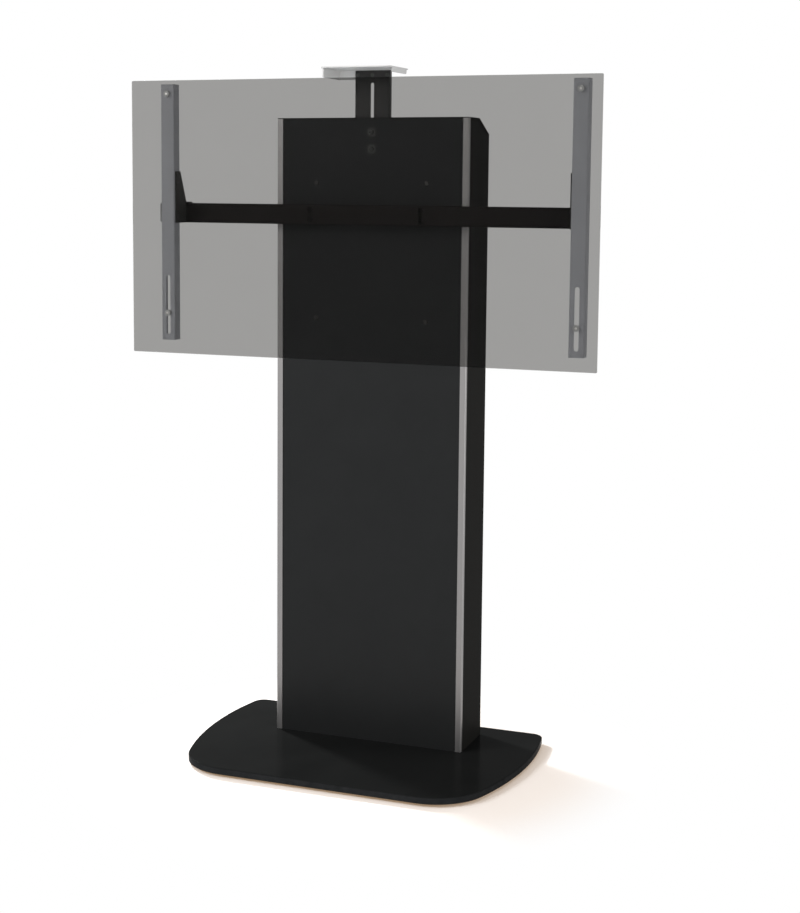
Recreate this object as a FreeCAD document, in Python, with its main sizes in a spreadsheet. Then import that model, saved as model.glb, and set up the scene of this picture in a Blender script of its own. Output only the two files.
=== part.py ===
import FreeCAD, Part
import math
import os
import re
import Sketcher

# Screen stand: a hollow column on a bow-sided base plate, a crossbar with two hook-on arms that carry a
# see-through screen panel, a height-adjustable camera shelf, and a lockable rear door.
# Millimetres. +Z up, the front looks along -Y, the origin is on the floor under the middle of the base.

SIZES = {
    # base plate
    "base_width": 862,
    "base_depth": 560,
    "base_thickness": 16,
    "base_bow_radius": 900,
    "base_widest_y": 86,
    "base_front_corner": 140,
    "base_back_corner": 30,
    "base_rim_round": 3,
    # glides under the base plate
    "glide_height": 8,
    "glide_radius": 22,
    "glide_boss_radius": 6,
    "glide_boss_height": 9,
    "glide_fit": 0.1,
    "glide_edge_round": 2,
    "front_glide_x": 300,
    "front_glide_y": 220,
    "rear_glide_x": 360,
    "rear_glide_y": 230,
    # column
    "column_front_y": 61,
    "column_width": 515,
    "column_depth": 158,
    "column_height": 1599,
    "slope_start": 78,
    "slope_drop": 38,
    # aluminium edge profiles
    "profile_face": 16,
    "profile_side": 8,
    "profile_lip": 1.5,
    "profile_round": 4,
    "profile_fin": 3,
    "profile_fin_reach": 18,
    "groove_clearance": 0.2,
    "groove_end": 8,
    # front panel, walls, cap and sill
    "panel_thickness": 3,
    "panel_side_clearance": 0.3,
    "wall_thickness": 2,
    "wall_return": 25,
    "wall_bend": 1.8,
    "cap_thickness": 2,
    "cap_lip": 6,
    "sill_height": 60,
    "cable_notch_width": 120,
    "cable_notch_height": 36,
    "cable_notch_round": 12,
    # uprights, rails and foot
    "upright_width": 60,
    "upright_depth": 32,
    "upright_wall": 2.5,
    "upright_spacing": 296,
    "foot_width": 440,
    "foot_depth": 118,
    "foot_thickness": 8,
    "foot_corner": 12,
    "rail_height": 90,
    "rail_thickness": 4,
    "rail_top_gap": 22,
    "lower_rail_height": 60,
    "lower_rail_rise": 160,
    # base bolts
    "base_bolt_x": 95,
    "base_bolt_front": 24,
    "base_bolt_back": 100,
    "base_bolt_radius": 5,
    "base_bolt_head_radius": 8,
    "base_bolt_head_height": 10,
    "bolt_clearance": 0.3,
    # panel screws
    "panel_screw_upper": 162,
    "panel_screw_lower": 505,
    "panel_screw_radius": 3,
    "panel_screw_head": 6.5,
    "panel_screw_head_height": 3.2,
    # crossbar
    "bar_length": 1136,
    "bar_offset": 6,
    "bar_height": 50,
    "bar_depth": 30,
    "bar_wall": 2,
    "bar_corner": 4,
    "bar_rise": 1357,
    "bar_gap": 12,
    "bar_cap_thickness": 4,
    "bar_cap_plug": 20,
    "bar_cap_clearance": 0.2,
    "bar_spacer_width": 50,
    "bar_bolt_radius": 4,
    "bar_bolt_head": 6.5,
    "bar_bolt_head_height": 8,
    "bar_bolt_offset": 12,
    "bar_access_radius": 8,
    # arms
    "left_arm_x": 519,
    "right_arm_x": 562,
    "arm_width": 38,
    "arm_depth": 28,
    "arm_wall": 2.5,
    "arm_length": 651,
    "arm_drop": 326,
    "arm_stand_off": 74,
    "arm_bend_round": 3.5,
    "arm_slot_width": 12,
    "arm_slot_length": 152,
    "arm_slot_rise": 15,
    "arm_hole_drop": 24,
    "arm_hole_radius": 4.2,
    # hooks
    "hook_plate": 3,
    "hook_above": 106,
    "hook_lip": 34,
    "hook_clearance": 0.3,
    "hook_strap_width": 20,
    "rivet_radius": 3,
    "rivet_head_radius": 5.5,
    "rivet_head_height": 2,
    "rivet_rise": 80,
    "rivet_drop": 8,
    "rivet_fit": 0.05,
    "lock_screw_radius": 3,
    "lock_screw_rise": 12,
    "lock_screw_head": 9,
    "lock_screw_head_height": 10,
    # screen panel
    "screen_width": 1232,
    "screen_height": 693,
    "screen_thickness": 4,
    "screen_drop": 359,
    "screen_corner": 3,
    "spacer_length": 6,
    "spacer_radius": 8,
    "screen_screw_radius": 3,
    "screen_screw_head": 7,
    "screen_screw_head_height": 4,
    "lower_spacer_rise": 70,
    # camera post and its clamp
    "post_width": 94,
    "post_depth": 12,
    "post_bend": 4,
    "post_clearance": 0.5,
    "post_wall": 3,
    "post_above": 116,
    "post_length": 355,
    "post_slot": 9,
    "post_slot_drop": 30,
    "post_slot_length": 275,
    "guide_width": 12,
    "clamp_block_width": 40,
    "clamp_upper_drop": 36,
    "clamp_pitch": 42,
    "clamp_screw_radius": 4,
    "clamp_head_radius": 7,
    "clamp_head_height": 5,
    "washer_radius": 12,
    "washer_thickness": 2,
    "clamp_nut_radius": 7,
    "clamp_nut_height": 6.5,
    # camera shelf
    "shelf_width": 184,
    "shelf_front": 118,
    "shelf_thickness": 3,
    "shelf_flange": 22,
    "shelf_low_flange": 11,
    "shelf_flange_reach": 42,
    "shelf_flange_start": 20,
    "shelf_corner": 10,
    "shelf_screw_pitch": 39,
    "shelf_screw_radius": 2.5,
    "shelf_screw_head": 4.5,
    "shelf_screw_head_height": 2.5,
    "camera_hole_radius": 3.3,
    "camera_hole_front": 38,
    # rear door
    "door_gap": 1.5,
    "door_fold": 12,
    "door_bend": 3,
    "door_sheet": 2,
    "door_rib_depth": 5,
    "door_rib_width": 60,
    "door_vent_width": 6,
    "door_vent_length": 120,
    "door_vent_pitch": 18,
    "door_vent_drop": 90,
    "hinge_leaf_thickness": 1.6,
    "hinge_leaf_width": 19,
    "hinge_height": 90,
    "hinge_barrel_radius": 4.5,
    "hinge_pin_radius": 2.5,
    "hinge_pin_clearance": 0.05,
    "hinge_knuckle_gap": 0.4,
    "hinge_pin_head": 1.5,
    "lower_hinge_rise": 190,
    "upper_hinge_drop": 190,
    # lock
    "lock_inset": 26,
    "lock_rise": 745,
    "lock_bezel_radius": 11,
    "lock_bezel_height": 2.5,
    "lock_body_radius": 8,
    "lock_hole_clearance": 0.3,
    "lock_plug_radius": 5,
    "lock_plug_clearance": 0.05,
    "lock_plug_proud": 0.6,
    "lock_key_width": 1.4,
    "lock_key_length": 6.5,
    "lock_key_depth": 3,
    "lock_body_depth": 5.4,
    "cam_thickness": 3,
    "cam_reach": 34,
    "cam_width": 14,
    "cam_sweep_clearance": 4,
    # overrun of the cutting tools
    "overrun": 5,
}
VENT_COUNT = 5

doc = FreeCAD.newDocument("screen_stand")
sheet = doc.addObject("Spreadsheet::Sheet", "sizes")
worked = doc.addObject("App::VarSet", "worked")
owner = {}
for row, (name, value) in enumerate(SIZES.items(), 1):
    sheet.set("A%d" % row, name)
    sheet.set("B%d" % row, str(value))
    sheet.setAlias("B%d" % row, name)
    owner[name] = "sizes."
doc.recompute()


# Helpers: expressions name the sizes by their plain words
def full(expression):
    return re.sub(r"[a-z][a-z0-9_]*", lambda word: owner.get(word.group(0), "") + word.group(0), expression)


def number(expression):
    return float(sheet.evalExpression(full(expression)))


def bind(thing, field, expression):
    thing.setExpression(field, full(expression))


def work_out(name, expression):
    worked.addProperty("App::PropertyFloat", name)
    bind(worked, name, expression)
    owner[name] = "worked."
    doc.recompute([worked])


def place(thing, x, y, z):
    bind(thing, "Placement.Base.x", x)
    bind(thing, "Placement.Base.y", y)
    bind(thing, "Placement.Base.z", z)


def block(name, x, y, z, length, width, height):
    box = doc.addObject("Part::Box", name)
    place(box, x, y, z)
    bind(box, "Length", length)
    bind(box, "Width", width)
    bind(box, "Height", height)
    return box


TURNS = {
    "x": FreeCAD.Rotation(FreeCAD.Vector(0, 1, 0), 90),
    "y": FreeCAD.Rotation(FreeCAD.Vector(1, 0, 0), -90),
    "z": FreeCAD.Rotation(),
}


def rod(name, axis, x, y, z, radius, length):
    cylinder = doc.addObject("Part::Cylinder", name)
    cylinder.Placement = FreeCAD.Placement(FreeCAD.Vector(), TURNS[axis])
    place(cylinder, x, y, z)
    bind(cylinder, "Radius", radius)
    bind(cylinder, "Height", length)
    return cylinder


def fuse(name, *pieces):
    joined = doc.addObject("Part::MultiFuse", name)
    joined.Shapes = list(pieces)
    joined.Refine = True
    return joined


def cut(name, base, *tools):
    taken = doc.addObject("Part::Cut", name)
    taken.Base = base
    taken.Tool = tools[0] if len(tools) == 1 else fuse(name + "_tools", *tools)
    return taken


def hexagon(name, axis, x, y, z, radius, length):
    prism = doc.addObject("Part::Prism", name)
    prism.Polygon = 6
    prism.Placement = FreeCAD.Placement(FreeCAD.Vector(), TURNS[axis])
    place(prism, x, y, z)
    bind(prism, "Circumradius", radius)
    bind(prism, "Height", length)
    return prism


def group(name, *pieces):
    together = doc.addObject("Part::Compound", name)
    together.Links = list(pieces)
    return together


def slot_tool(name, along, x, y, z, width, length, depth):
    # A round-ended slot through a wall that faces the front; x, y, z is its centre on the low-y side
    straight = "(%s - %s)" % (length, width)
    if along == "x":
        low = "%s - %s / 2" % (x, straight)
        middle = block(name + "_middle", low, y, "%s - %s / 2" % (z, width), straight, depth, width)
        ends = [(low, z), ("%s + %s / 2" % (x, straight), z)]
    else:
        low = "%s - %s / 2" % (z, straight)
        middle = block(name + "_middle", "%s - %s / 2" % (x, width), y, low, width, depth, straight)
        ends = [(x, low), (x, "%s + %s / 2" % (z, straight))]
    rods = [rod("%s_end_%d" % (name, i), "y", ex, y, ez, "%s / 2" % width, depth)
            for i, (ex, ez) in enumerate(ends)]
    return fuse(name, middle, *rods)


def new_body(name):
    return doc.addObject("PartDesign::Body", name)


def new_sketch(body, name, plane, offset):
    sketch = body.newObject("Sketcher::SketchObject", name)
    face = [feature for feature in body.Origin.OriginFeatures if feature.Role == plane][0]
    sketch.AttachmentSupport = [(face, "")]
    sketch.MapMode = "FlatFace"
    bind(sketch, "AttachmentOffset.Base.z", offset)
    return sketch


def pin_point(sketch, geometry, end, across, up):
    for kind, distance in (("DistanceX", across), ("DistanceY", up)):
        if distance is not None:
            index = sketch.addConstraint(
                Sketcher.Constraint(kind, -1, 1, geometry, end, number(distance)))
            bind(sketch, "Constraints[%d]" % index, distance)


def draw_outline(sketch, points):
    places = [FreeCAD.Vector(number(across), number(up), 0) for across, up in points]
    first = sketch.GeometryCount
    for i, start in enumerate(places):
        sketch.addGeometry(Part.LineSegment(start, places[(i + 1) % len(places)]))
    for i in range(len(points)):
        sketch.addConstraint(
            Sketcher.Constraint("Coincident", first + i, 2, first + (i + 1) % len(points), 1))
    for i, (across, up) in enumerate(points):
        pin_point(sketch, first + i, 1, across, up)


def draw_circle(sketch, across, up, radius):
    centre = FreeCAD.Vector(number(across), number(up), 0)
    index = sketch.addGeometry(Part.Circle(centre, FreeCAD.Vector(0, 0, 1), number(radius)))
    pin_point(sketch, index, 3, across, up)
    constraint = sketch.addConstraint(Sketcher.Constraint("Radius", index, number(radius)))
    bind(sketch, "Constraints[%d]" % constraint, radius)


def pad(body, name, sketch, length, reverse=False):
    feature = body.newObject("PartDesign::Pad", name)
    feature.Profile = sketch
    feature.Reversed = reverse
    bind(feature, "Length", length)
    sketch.Visibility = False
    doc.recompute()
    return feature


def pocket(body, name, sketch, length, reverse=False):
    before = body.Shape.Volume
    feature = body.newObject("PartDesign::Pocket", name)
    feature.Profile = sketch
    feature.Reversed = reverse
    bind(feature, "Length", length)
    doc.recompute()
    if not body.Shape.Volume < before:
        raise ValueError(name + " cuts nothing")
    return feature


def round_edges(body, name, radius, chosen):
    doc.recompute()
    base = body.Tip
    edges = ["Edge%d" % (i + 1) for i, edge in enumerate(base.Shape.Edges) if chosen(edge)]
    feature = body.newObject("PartDesign::Fillet", name)
    feature.Base = (base, edges)
    bind(feature, "Radius", radius)
    doc.recompute()
    return feature


def is_upright(edge):
    return len(edge.Vertexes) == 2 and abs(edge.BoundBox.ZLength - edge.Length) < 0.001 * edge.Length


def edge_at(edge, axis, spots, near):
    # True for a straight edge along the axis that passes one of the spots, given in the other two directions
    centre = edge.CenterOfMass
    box = edge.BoundBox
    span = {"x": box.XLength, "y": box.YLength, "z": box.ZLength}[axis]
    if len(edge.Vertexes) != 2 or abs(span - edge.Length) > 0.001 * edge.Length:
        return False
    across = {"x": (centre.y, centre.z), "y": (centre.x, centre.z), "z": (centre.x, centre.y)}[axis]
    return any(abs(across[0] - number(a)) < near and abs(across[1] - number(b)) < near for a, b in spots)


def corners(left, low, right, high):
    return [(left, low), (right, low), (right, high), (left, high)]


PIECES = {}


def piece(node, thing):
    thing.Label = node
    PIECES[node] = thing


# Places that many pieces share
work_out("base_top", "glide_height + base_thickness")
work_out("half_column", "column_width / 2")
work_out("column_top", "base_top + column_height")
work_out("column_back_y", "column_front_y + column_depth")
work_out("skin_top", "column_top - cap_thickness")
work_out("panel_back_y", "column_front_y + panel_thickness")
work_out("upright_back_y", "panel_back_y + upright_depth")
work_out("slope_end", "column_top - slope_drop")
work_out("bar_z", "base_top + bar_rise")
work_out("bar_back_y", "column_front_y - bar_gap")
work_out("bar_front_y", "bar_back_y - bar_depth")
work_out("arm_back_y", "column_front_y - arm_stand_off")
work_out("arm_front_y", "arm_back_y - arm_depth")
work_out("arm_bottom", "bar_z - arm_drop")
work_out("arm_top", "arm_bottom + arm_length")
work_out("screen_back_y", "arm_front_y - spacer_length")


# Base plate: thick steel with bowed sides, large front corners and a softened rim
def build_base_plate():
    body = new_body("base_plate_body")
    sketch = new_sketch(body, "base_outline", "XY_Plane", "glide_height")
    centre_x = "base_width / 2 - base_bow_radius"
    radius = number("base_bow_radius")
    middle = number("base_widest_y")
    half = number("base_depth / 2")
    front = math.asin((-half - middle) / radius)
    back = math.asin((half - middle) / radius)
    up = FreeCAD.Vector(0, 0, 1)
    reach = number(centre_x)
    right_circle = Part.Circle(FreeCAD.Vector(reach, middle, 0), up, radius)
    left_circle = Part.Circle(FreeCAD.Vector(-reach, middle, 0), up, radius)
    front_x = reach + radius * math.cos(front)
    back_x = reach + radius * math.cos(back)
    front_ends = [FreeCAD.Vector(across, -half, 0) for across in (-front_x, front_x)]
    sketch.addGeometry(Part.LineSegment(*front_ends))
    sketch.addGeometry(Part.ArcOfCircle(right_circle, front, back))
    sketch.addGeometry(Part.LineSegment(FreeCAD.Vector(back_x, half, 0), FreeCAD.Vector(-back_x, half, 0)))
    sketch.addGeometry(Part.ArcOfCircle(left_circle, math.pi - back, math.pi - front))
    for i in range(4):
        sketch.addConstraint(Sketcher.Constraint("Coincident", i, 2, (i + 1) % 4, 1))
    for index, across in ((1, centre_x), (3, "-(%s)" % centre_x)):
        pin_point(sketch, index, 3, across, "base_widest_y")
        constraint = sketch.addConstraint(Sketcher.Constraint("Radius", index, radius))
        bind(sketch, "Constraints[%d]" % constraint, "base_bow_radius")
    for end in (1, 2):
        pin_point(sketch, 0, end, None, "-base_depth / 2")
        pin_point(sketch, 2, end, None, "base_depth / 2")
    pad(body, "base_pad", sketch, "base_thickness")
    round_edges(body, "front_corners", "base_front_corner", lambda e: is_upright(e) and e.CenterOfMass.y < 0)
    sharp_y = number("base_depth / 2")
    round_edges(body, "back_corners", "base_back_corner",
                lambda e: is_upright(e) and abs(e.CenterOfMass.y - sharp_y) < 0.01 * sharp_y)
    top = number("base_top")
    round_edges(body, "rim", "base_rim_round",
                lambda e: abs(e.BoundBox.ZMin - top) + abs(e.BoundBox.ZMax - top) < 0.001 * top)
    shanks = new_sketch(body, "bolt_holes", "XY_Plane", "base_top")
    heads = new_sketch(body, "bolt_seats", "XY_Plane", "glide_height")
    for x, y in base_bolt_places():
        draw_circle(shanks, x, y, "base_bolt_radius + bolt_clearance")
        draw_circle(heads, x, y, "base_bolt_head_radius + bolt_clearance")
    pocket(body, "bolt_hole_pocket", shanks, "base_thickness + overrun")
    pocket(body, "bolt_seat_pocket", heads, "base_bolt_head_height + bolt_clearance", True)
    bosses = new_sketch(body, "glide_holes", "XY_Plane", "glide_height")
    for x, y in glide_places():
        draw_circle(bosses, x, y, "glide_boss_radius + glide_fit")
    pocket(body, "glide_hole_pocket", bosses, "glide_boss_height + glide_fit", True)
    piece("base_plate", body)


def base_bolt_places():
    return [("%s * base_bolt_x" % side, "column_front_y + " + back)
            for side in ("-1", "1") for back in ("base_bolt_front", "base_bolt_back")]


def glide_places():
    places = []
    for side in ("-1", "1"):
        places.append(("%s * front_glide_x" % side, "-front_glide_y"))
        places.append(("%s * rear_glide_x" % side, "rear_glide_y"))
    return places


# Glides: four round feet, each pressed into the plate by its boss
def build_glides():
    feet = []
    for i, (x, y) in enumerate(glide_places()):
        body = new_body("glide_%d" % i)
        disc = new_sketch(body, "glide_disc_%d" % i, "XY_Plane", "0")
        draw_circle(disc, x, y, "glide_radius")
        pad(body, "glide_disc_pad_%d" % i, disc, "glide_height")
        low = number("glide_height") / 2
        round_edges(body, "glide_round_%d" % i, "glide_edge_round",
                    lambda e: len(e.Vertexes) == 1 and e.BoundBox.ZMax < low)
        boss = new_sketch(body, "glide_boss_%d" % i, "XY_Plane", "glide_height")
        draw_circle(boss, x, y, "glide_boss_radius")
        pad(body, "glide_boss_pad_%d" % i, boss, "glide_boss_height")
        feet.append(body)
    piece("glides", group("glides_group", *feet))


# Foot plate and base bolts: the uprights stand on the plate, bolted through the base from below
def build_foot():
    body = new_body("foot_plate_body")
    sketch = new_sketch(body, "foot_outline", "XY_Plane", "base_top")
    draw_outline(sketch, [("-foot_width / 2", "panel_back_y"), ("foot_width / 2", "panel_back_y"),
                          ("foot_width / 2", "panel_back_y + foot_depth"),
                          ("-foot_width / 2", "panel_back_y + foot_depth")])
    pad(body, "foot_pad", sketch, "foot_thickness")
    round_edges(body, "foot_corners", "foot_corner", is_upright)
    holes = new_sketch(body, "foot_holes", "XY_Plane", "base_top")
    for x, y in base_bolt_places():
        draw_circle(holes, x, y, "base_bolt_radius + glide_fit")
    pocket(body, "foot_hole_pocket", holes, "foot_thickness + overrun", True)
    piece("foot_plate", body)
    bolts = []
    for i, (x, y) in enumerate(base_bolt_places()):
        seat = "glide_height + bolt_clearance"
        head = rod("base_bolt_head_%d" % i, "z", x, y, seat, "base_bolt_head_radius", "base_bolt_head_height")
        shank = rod("base_bolt_shank_%d" % i, "z", x, y, seat + " + base_bolt_head_height",
                    "base_bolt_radius",
                    "base_thickness - base_bolt_head_height - bolt_clearance + foot_thickness")
        bolts.append(fuse("base_bolt_%d" % i, head, shank))
    piece("base_bolts", group("base_bolts_group", *bolts))


# Uprights: two rectangular tubes behind the front panel, and the rails welded across their backs
def build_frame():
    upright_bottom = "base_top + foot_thickness"
    for side_name, side in (("left", "-1"), ("right", "1")):
        centre = "%s * upright_spacing / 2" % side
        outer = block(side_name + "_upright_outer", centre + " - upright_width / 2", "panel_back_y",
                      upright_bottom, "upright_width", "upright_depth",
                      "skin_top - base_top - foot_thickness")
        inner = block(side_name + "_upright_inner", centre + " - upright_width / 2 + upright_wall",
                      "panel_back_y + upright_wall", upright_bottom + " - overrun",
                      "upright_width - 2 * upright_wall", "upright_depth - 2 * upright_wall",
                      "skin_top - base_top + 2 * overrun")
        holes = []
        for i, drop in enumerate(("panel_screw_upper", "panel_screw_lower")):
            holes.append(rod("%s_panel_screw_hole_%d" % (side_name, i), "y", centre, "panel_back_y - overrun",
                             "column_top - " + drop, "panel_screw_radius + glide_fit",
                             "2 * overrun + upright_wall"))
        for i, rise in enumerate(("-1", "1")):
            holes.append(rod("%s_bar_bolt_hole_%d" % (side_name, i), "y", centre, "panel_back_y - overrun",
                             "bar_z + %s * bar_bolt_offset" % rise, "bar_bolt_radius + glide_fit",
                             "2 * overrun + upright_wall"))
        piece(side_name + "_upright", cut(side_name + "_upright_tube", outer, inner, *holes))
    rail_x = "-(upright_spacing + upright_width) / 2"
    rail_length = "upright_spacing + upright_width"
    rail = block("clamp_rail_plate", rail_x, "upright_back_y", "skin_top - rail_top_gap - rail_height",
                 rail_length, "rail_thickness", "rail_height")
    holes = [rod("clamp_rail_hole_%d" % i, "y", "0", "upright_back_y - overrun", z,
                 "clamp_screw_radius + glide_fit", "rail_thickness + 2 * overrun")
             for i, z in enumerate(clamp_heights())]
    piece("clamp_rail", cut("clamp_rail_holed", rail, *holes))
    piece("lower_rail", block("lower_rail_plate", rail_x, "upright_back_y", "base_top + lower_rail_rise",
                              rail_length, "rail_thickness", "lower_rail_height"))


def clamp_heights():
    return ["column_top - clamp_upper_drop", "column_top - clamp_upper_drop - clamp_pitch"]


# Edge profiles: extruded aluminium, with a groove for the front panel and a fin behind the side wall
def build_edge_profiles():
    for side_name, side in (("left", "-1"), ("right", "1")):
        body = new_body(side_name + "_profile_body")
        sketch = new_sketch(body, side_name + "_profile_section", "XY_Plane", "base_top")
        lip_y = "column_front_y - profile_lip"
        groove_y = "column_front_y + panel_thickness + groove_clearance"
        fin_y = groove_y + " + profile_fin"
        side_y = lip_y + " + profile_side"
        points = [
            ("half_column - profile_face", lip_y),
            ("half_column", lip_y),
            ("half_column", side_y),
            ("half_column - wall_thickness", side_y),
            ("half_column - wall_thickness", side_y + " + profile_fin_reach"),
            ("half_column - wall_thickness - profile_fin", side_y + " + profile_fin_reach"),
            ("half_column - wall_thickness - profile_fin", fin_y),
            ("half_column - profile_face", fin_y),
            ("half_column - profile_face", groove_y),
            ("half_column - groove_end", groove_y),
            ("half_column - groove_end", "column_front_y"),
            ("half_column - profile_face", "column_front_y"),
        ]
        draw_outline(sketch, [("%s * (%s)" % (side, x), y) for x, y in points])
        pad(body, side_name + "_profile_pad", sketch, "skin_top - base_top")
        corner_x = number("%s * half_column" % side)
        corner_y = number(lip_y)
        near = number("profile_lip") / 2
        round_edges(body, side_name + "_profile_corner", "profile_round",
                    lambda e: is_upright(e) and abs(e.CenterOfMass.x - corner_x) < near
                    and abs(e.CenterOfMass.y - corner_y) < near)
        piece(side_name + "_edge_profile", body)


# Front panel: one black sheet slid into the two profiles, with holes for its screws and the clamp
def build_front_panel():
    half = "half_column - groove_end - panel_side_clearance"
    sheet_plate = block("front_panel_sheet", "-(%s)" % half, "column_front_y", "base_top", "2 * (%s)" % half,
                        "panel_thickness", "skin_top - base_top")
    holes = [rod("panel_clamp_hole_%d" % i, "y", "0", "column_front_y - overrun", z,
                 "clamp_screw_radius + bolt_clearance", "panel_thickness + 2 * overrun")
             for i, z in enumerate(clamp_heights())]
    for i, (x, z) in enumerate(panel_screw_places()):
        holes.append(rod("panel_screw_hole_%d" % i, "y", x, "column_front_y - overrun", z,
                         "panel_screw_radius + bolt_clearance", "panel_thickness + 2 * overrun"))
    for i, (x, z) in enumerate(bar_bolt_places()):
        holes.append(rod("panel_bar_hole_%d" % i, "y", x, "column_front_y - overrun", z,
                         "bar_bolt_radius + bolt_clearance", "panel_thickness + 2 * overrun"))
    piece("front_panel", cut("front_panel_holed", sheet_plate, *holes))
    screws = []
    for i, (x, z) in enumerate(panel_screw_places()):
        head = rod("panel_screw_head_%d" % i, "y", x, "column_front_y - panel_screw_head_height", z,
                   "panel_screw_head", "panel_screw_head_height")
        shank = rod("panel_screw_shank_%d" % i, "y", x, "column_front_y", z, "panel_screw_radius",
                    "panel_thickness + upright_wall + panel_screw_radius")
        socket = hexagon("panel_screw_socket_%d" % i, "y", x,
                         "column_front_y - panel_screw_head_height - overrun", z,
                         "panel_screw_radius * 2 / 3", "overrun + panel_screw_head_height * 2 / 3")
        screws.append(cut("panel_screw_%d" % i, fuse("panel_screw_blank_%d" % i, head, shank), socket))
    piece("panel_screws", group("panel_screws_group", *screws))


def panel_screw_places():
    return [("%s * upright_spacing / 2" % side, "column_top - " + drop)
            for side in ("-1", "1") for drop in ("panel_screw_upper", "panel_screw_lower")]


def bar_bolt_places():
    return [("%s * upright_spacing / 2" % side, "bar_z + %s * bar_bolt_offset" % rise)
            for side in ("-1", "1") for rise in ("-1", "1")]


# Side walls: folded sheet with a return at the back and a sloping top-back corner
def build_side_walls():
    front_y = "column_front_y - profile_lip + profile_side"
    return_y = "column_back_y - wall_thickness"
    for side_name, low, return_low in (
            ("left", "-half_column", "-half_column"),
            ("right", "half_column - wall_thickness", "half_column - wall_return")):
        body = new_body(side_name + "_wall_body")
        sketch = new_sketch(body, side_name + "_wall_outline", "YZ_Plane", low)
        draw_outline(sketch, [(front_y, "base_top"), ("column_back_y", "base_top"),
                              ("column_back_y", "slope_end - cap_thickness"),
                              ("column_front_y + slope_start", "skin_top"), (front_y, "skin_top")])
        pad(body, side_name + "_wall_pad", sketch, "wall_thickness")
        back = new_sketch(body, side_name + "_return_outline", "YZ_Plane", return_low)
        draw_outline(back, [(return_y, "base_top"), ("column_back_y", "base_top"),
                            ("column_back_y", "slope_end - cap_thickness"),
                            (return_y, "slope_end - cap_thickness")])
        pad(body, side_name + "_return_pad", back, "wall_return")
        side = {"left": "-1", "right": "1"}[side_name]
        near = number("wall_thickness") / 4
        outside = [("%s * half_column" % side, "column_back_y")]
        round_edges(body, side_name + "_wall_fold", "wall_bend", lambda e: edge_at(e, "z", outside, near))
        piece(side_name + "_side_wall", body)


# Top cap: a folded sheet, flat at the front and sloping at the back, with the post's opening
def build_top_cap():
    fall = "slope_drop * (column_depth - cap_thickness - slope_start) / (column_depth - slope_start)"
    lip_y = "column_front_y - profile_lip"
    body = new_body("top_cap_body")
    sketch = new_sketch(body, "cap_section", "YZ_Plane", "-half_column")
    draw_outline(sketch, [
        (lip_y, "skin_top"),
        (lip_y, "column_top"),
        ("column_front_y + slope_start", "column_top"),
        ("column_back_y", "slope_end"),
        ("column_back_y", "slope_end - cap_thickness"),
        ("column_back_y - cap_thickness", "skin_top - " + fall),
        ("column_front_y + slope_start", "skin_top"),
    ])
    pad(body, "cap_pad", sketch, "column_width")
    corner_y = number(lip_y)
    round_edges(body, "cap_corners", "profile_round",
                lambda e: is_upright(e) and abs(e.CenterOfMass.y - corner_y) < number("profile_lip") / 2)
    lip = new_sketch(body, "cap_lip_outline", "YZ_Plane", "-(half_column - wall_return - door_gap)")
    draw_outline(lip, [("column_back_y - cap_thickness", "slope_end - cap_thickness - cap_lip"),
                       ("column_back_y", "slope_end - cap_thickness - cap_lip"),
                       ("column_back_y", "slope_end"),
                       ("column_back_y - cap_thickness",
                        "slope_end - cap_thickness + slope_drop - (%s)" % fall)])
    pad(body, "cap_lip_pad", lip, "column_width - 2 * (wall_return + door_gap)")
    hole = new_sketch(body, "post_opening", "XY_Plane", "column_top")
    half = "post_width / 2 + post_clearance"
    draw_outline(hole, corners("-(%s)" % half, "panel_back_y", half,
                               "panel_back_y + post_depth + 2 * post_clearance"))
    pocket(body, "post_opening_pocket", hole, "cap_thickness + overrun")
    piece("top_cap", body)


# Rear sill: closes the back under the door and lets the cables out
def build_rear_sill():
    plate = block("sill_plate", "-(half_column - wall_thickness)", "column_back_y - 2 * wall_thickness",
                  "base_top", "column_width - 2 * wall_thickness", "wall_thickness", "sill_height")
    notch_low = "column_back_y - 2 * wall_thickness - overrun"
    deep = "wall_thickness + 2 * overrun"
    straight = block("notch_straight", "-cable_notch_width / 2", notch_low, "base_top - overrun",
                     "cable_notch_width", deep, "cable_notch_height - cable_notch_round + overrun")
    crown = block("notch_crown", "-(cable_notch_width / 2 - cable_notch_round)", notch_low, "base_top",
                  "cable_notch_width - 2 * cable_notch_round", deep, "cable_notch_height")
    rounds = [rod("notch_round_" + side_name, "y",
                  "%s * (cable_notch_width / 2 - cable_notch_round)" % side, notch_low,
                  "base_top + cable_notch_height - cable_notch_round", "cable_notch_round", deep)
              for side_name, side in (("left", "-1"), ("right", "1"))]
    piece("rear_sill", cut("sill_notched", plate, straight, crown, *rounds))


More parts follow.
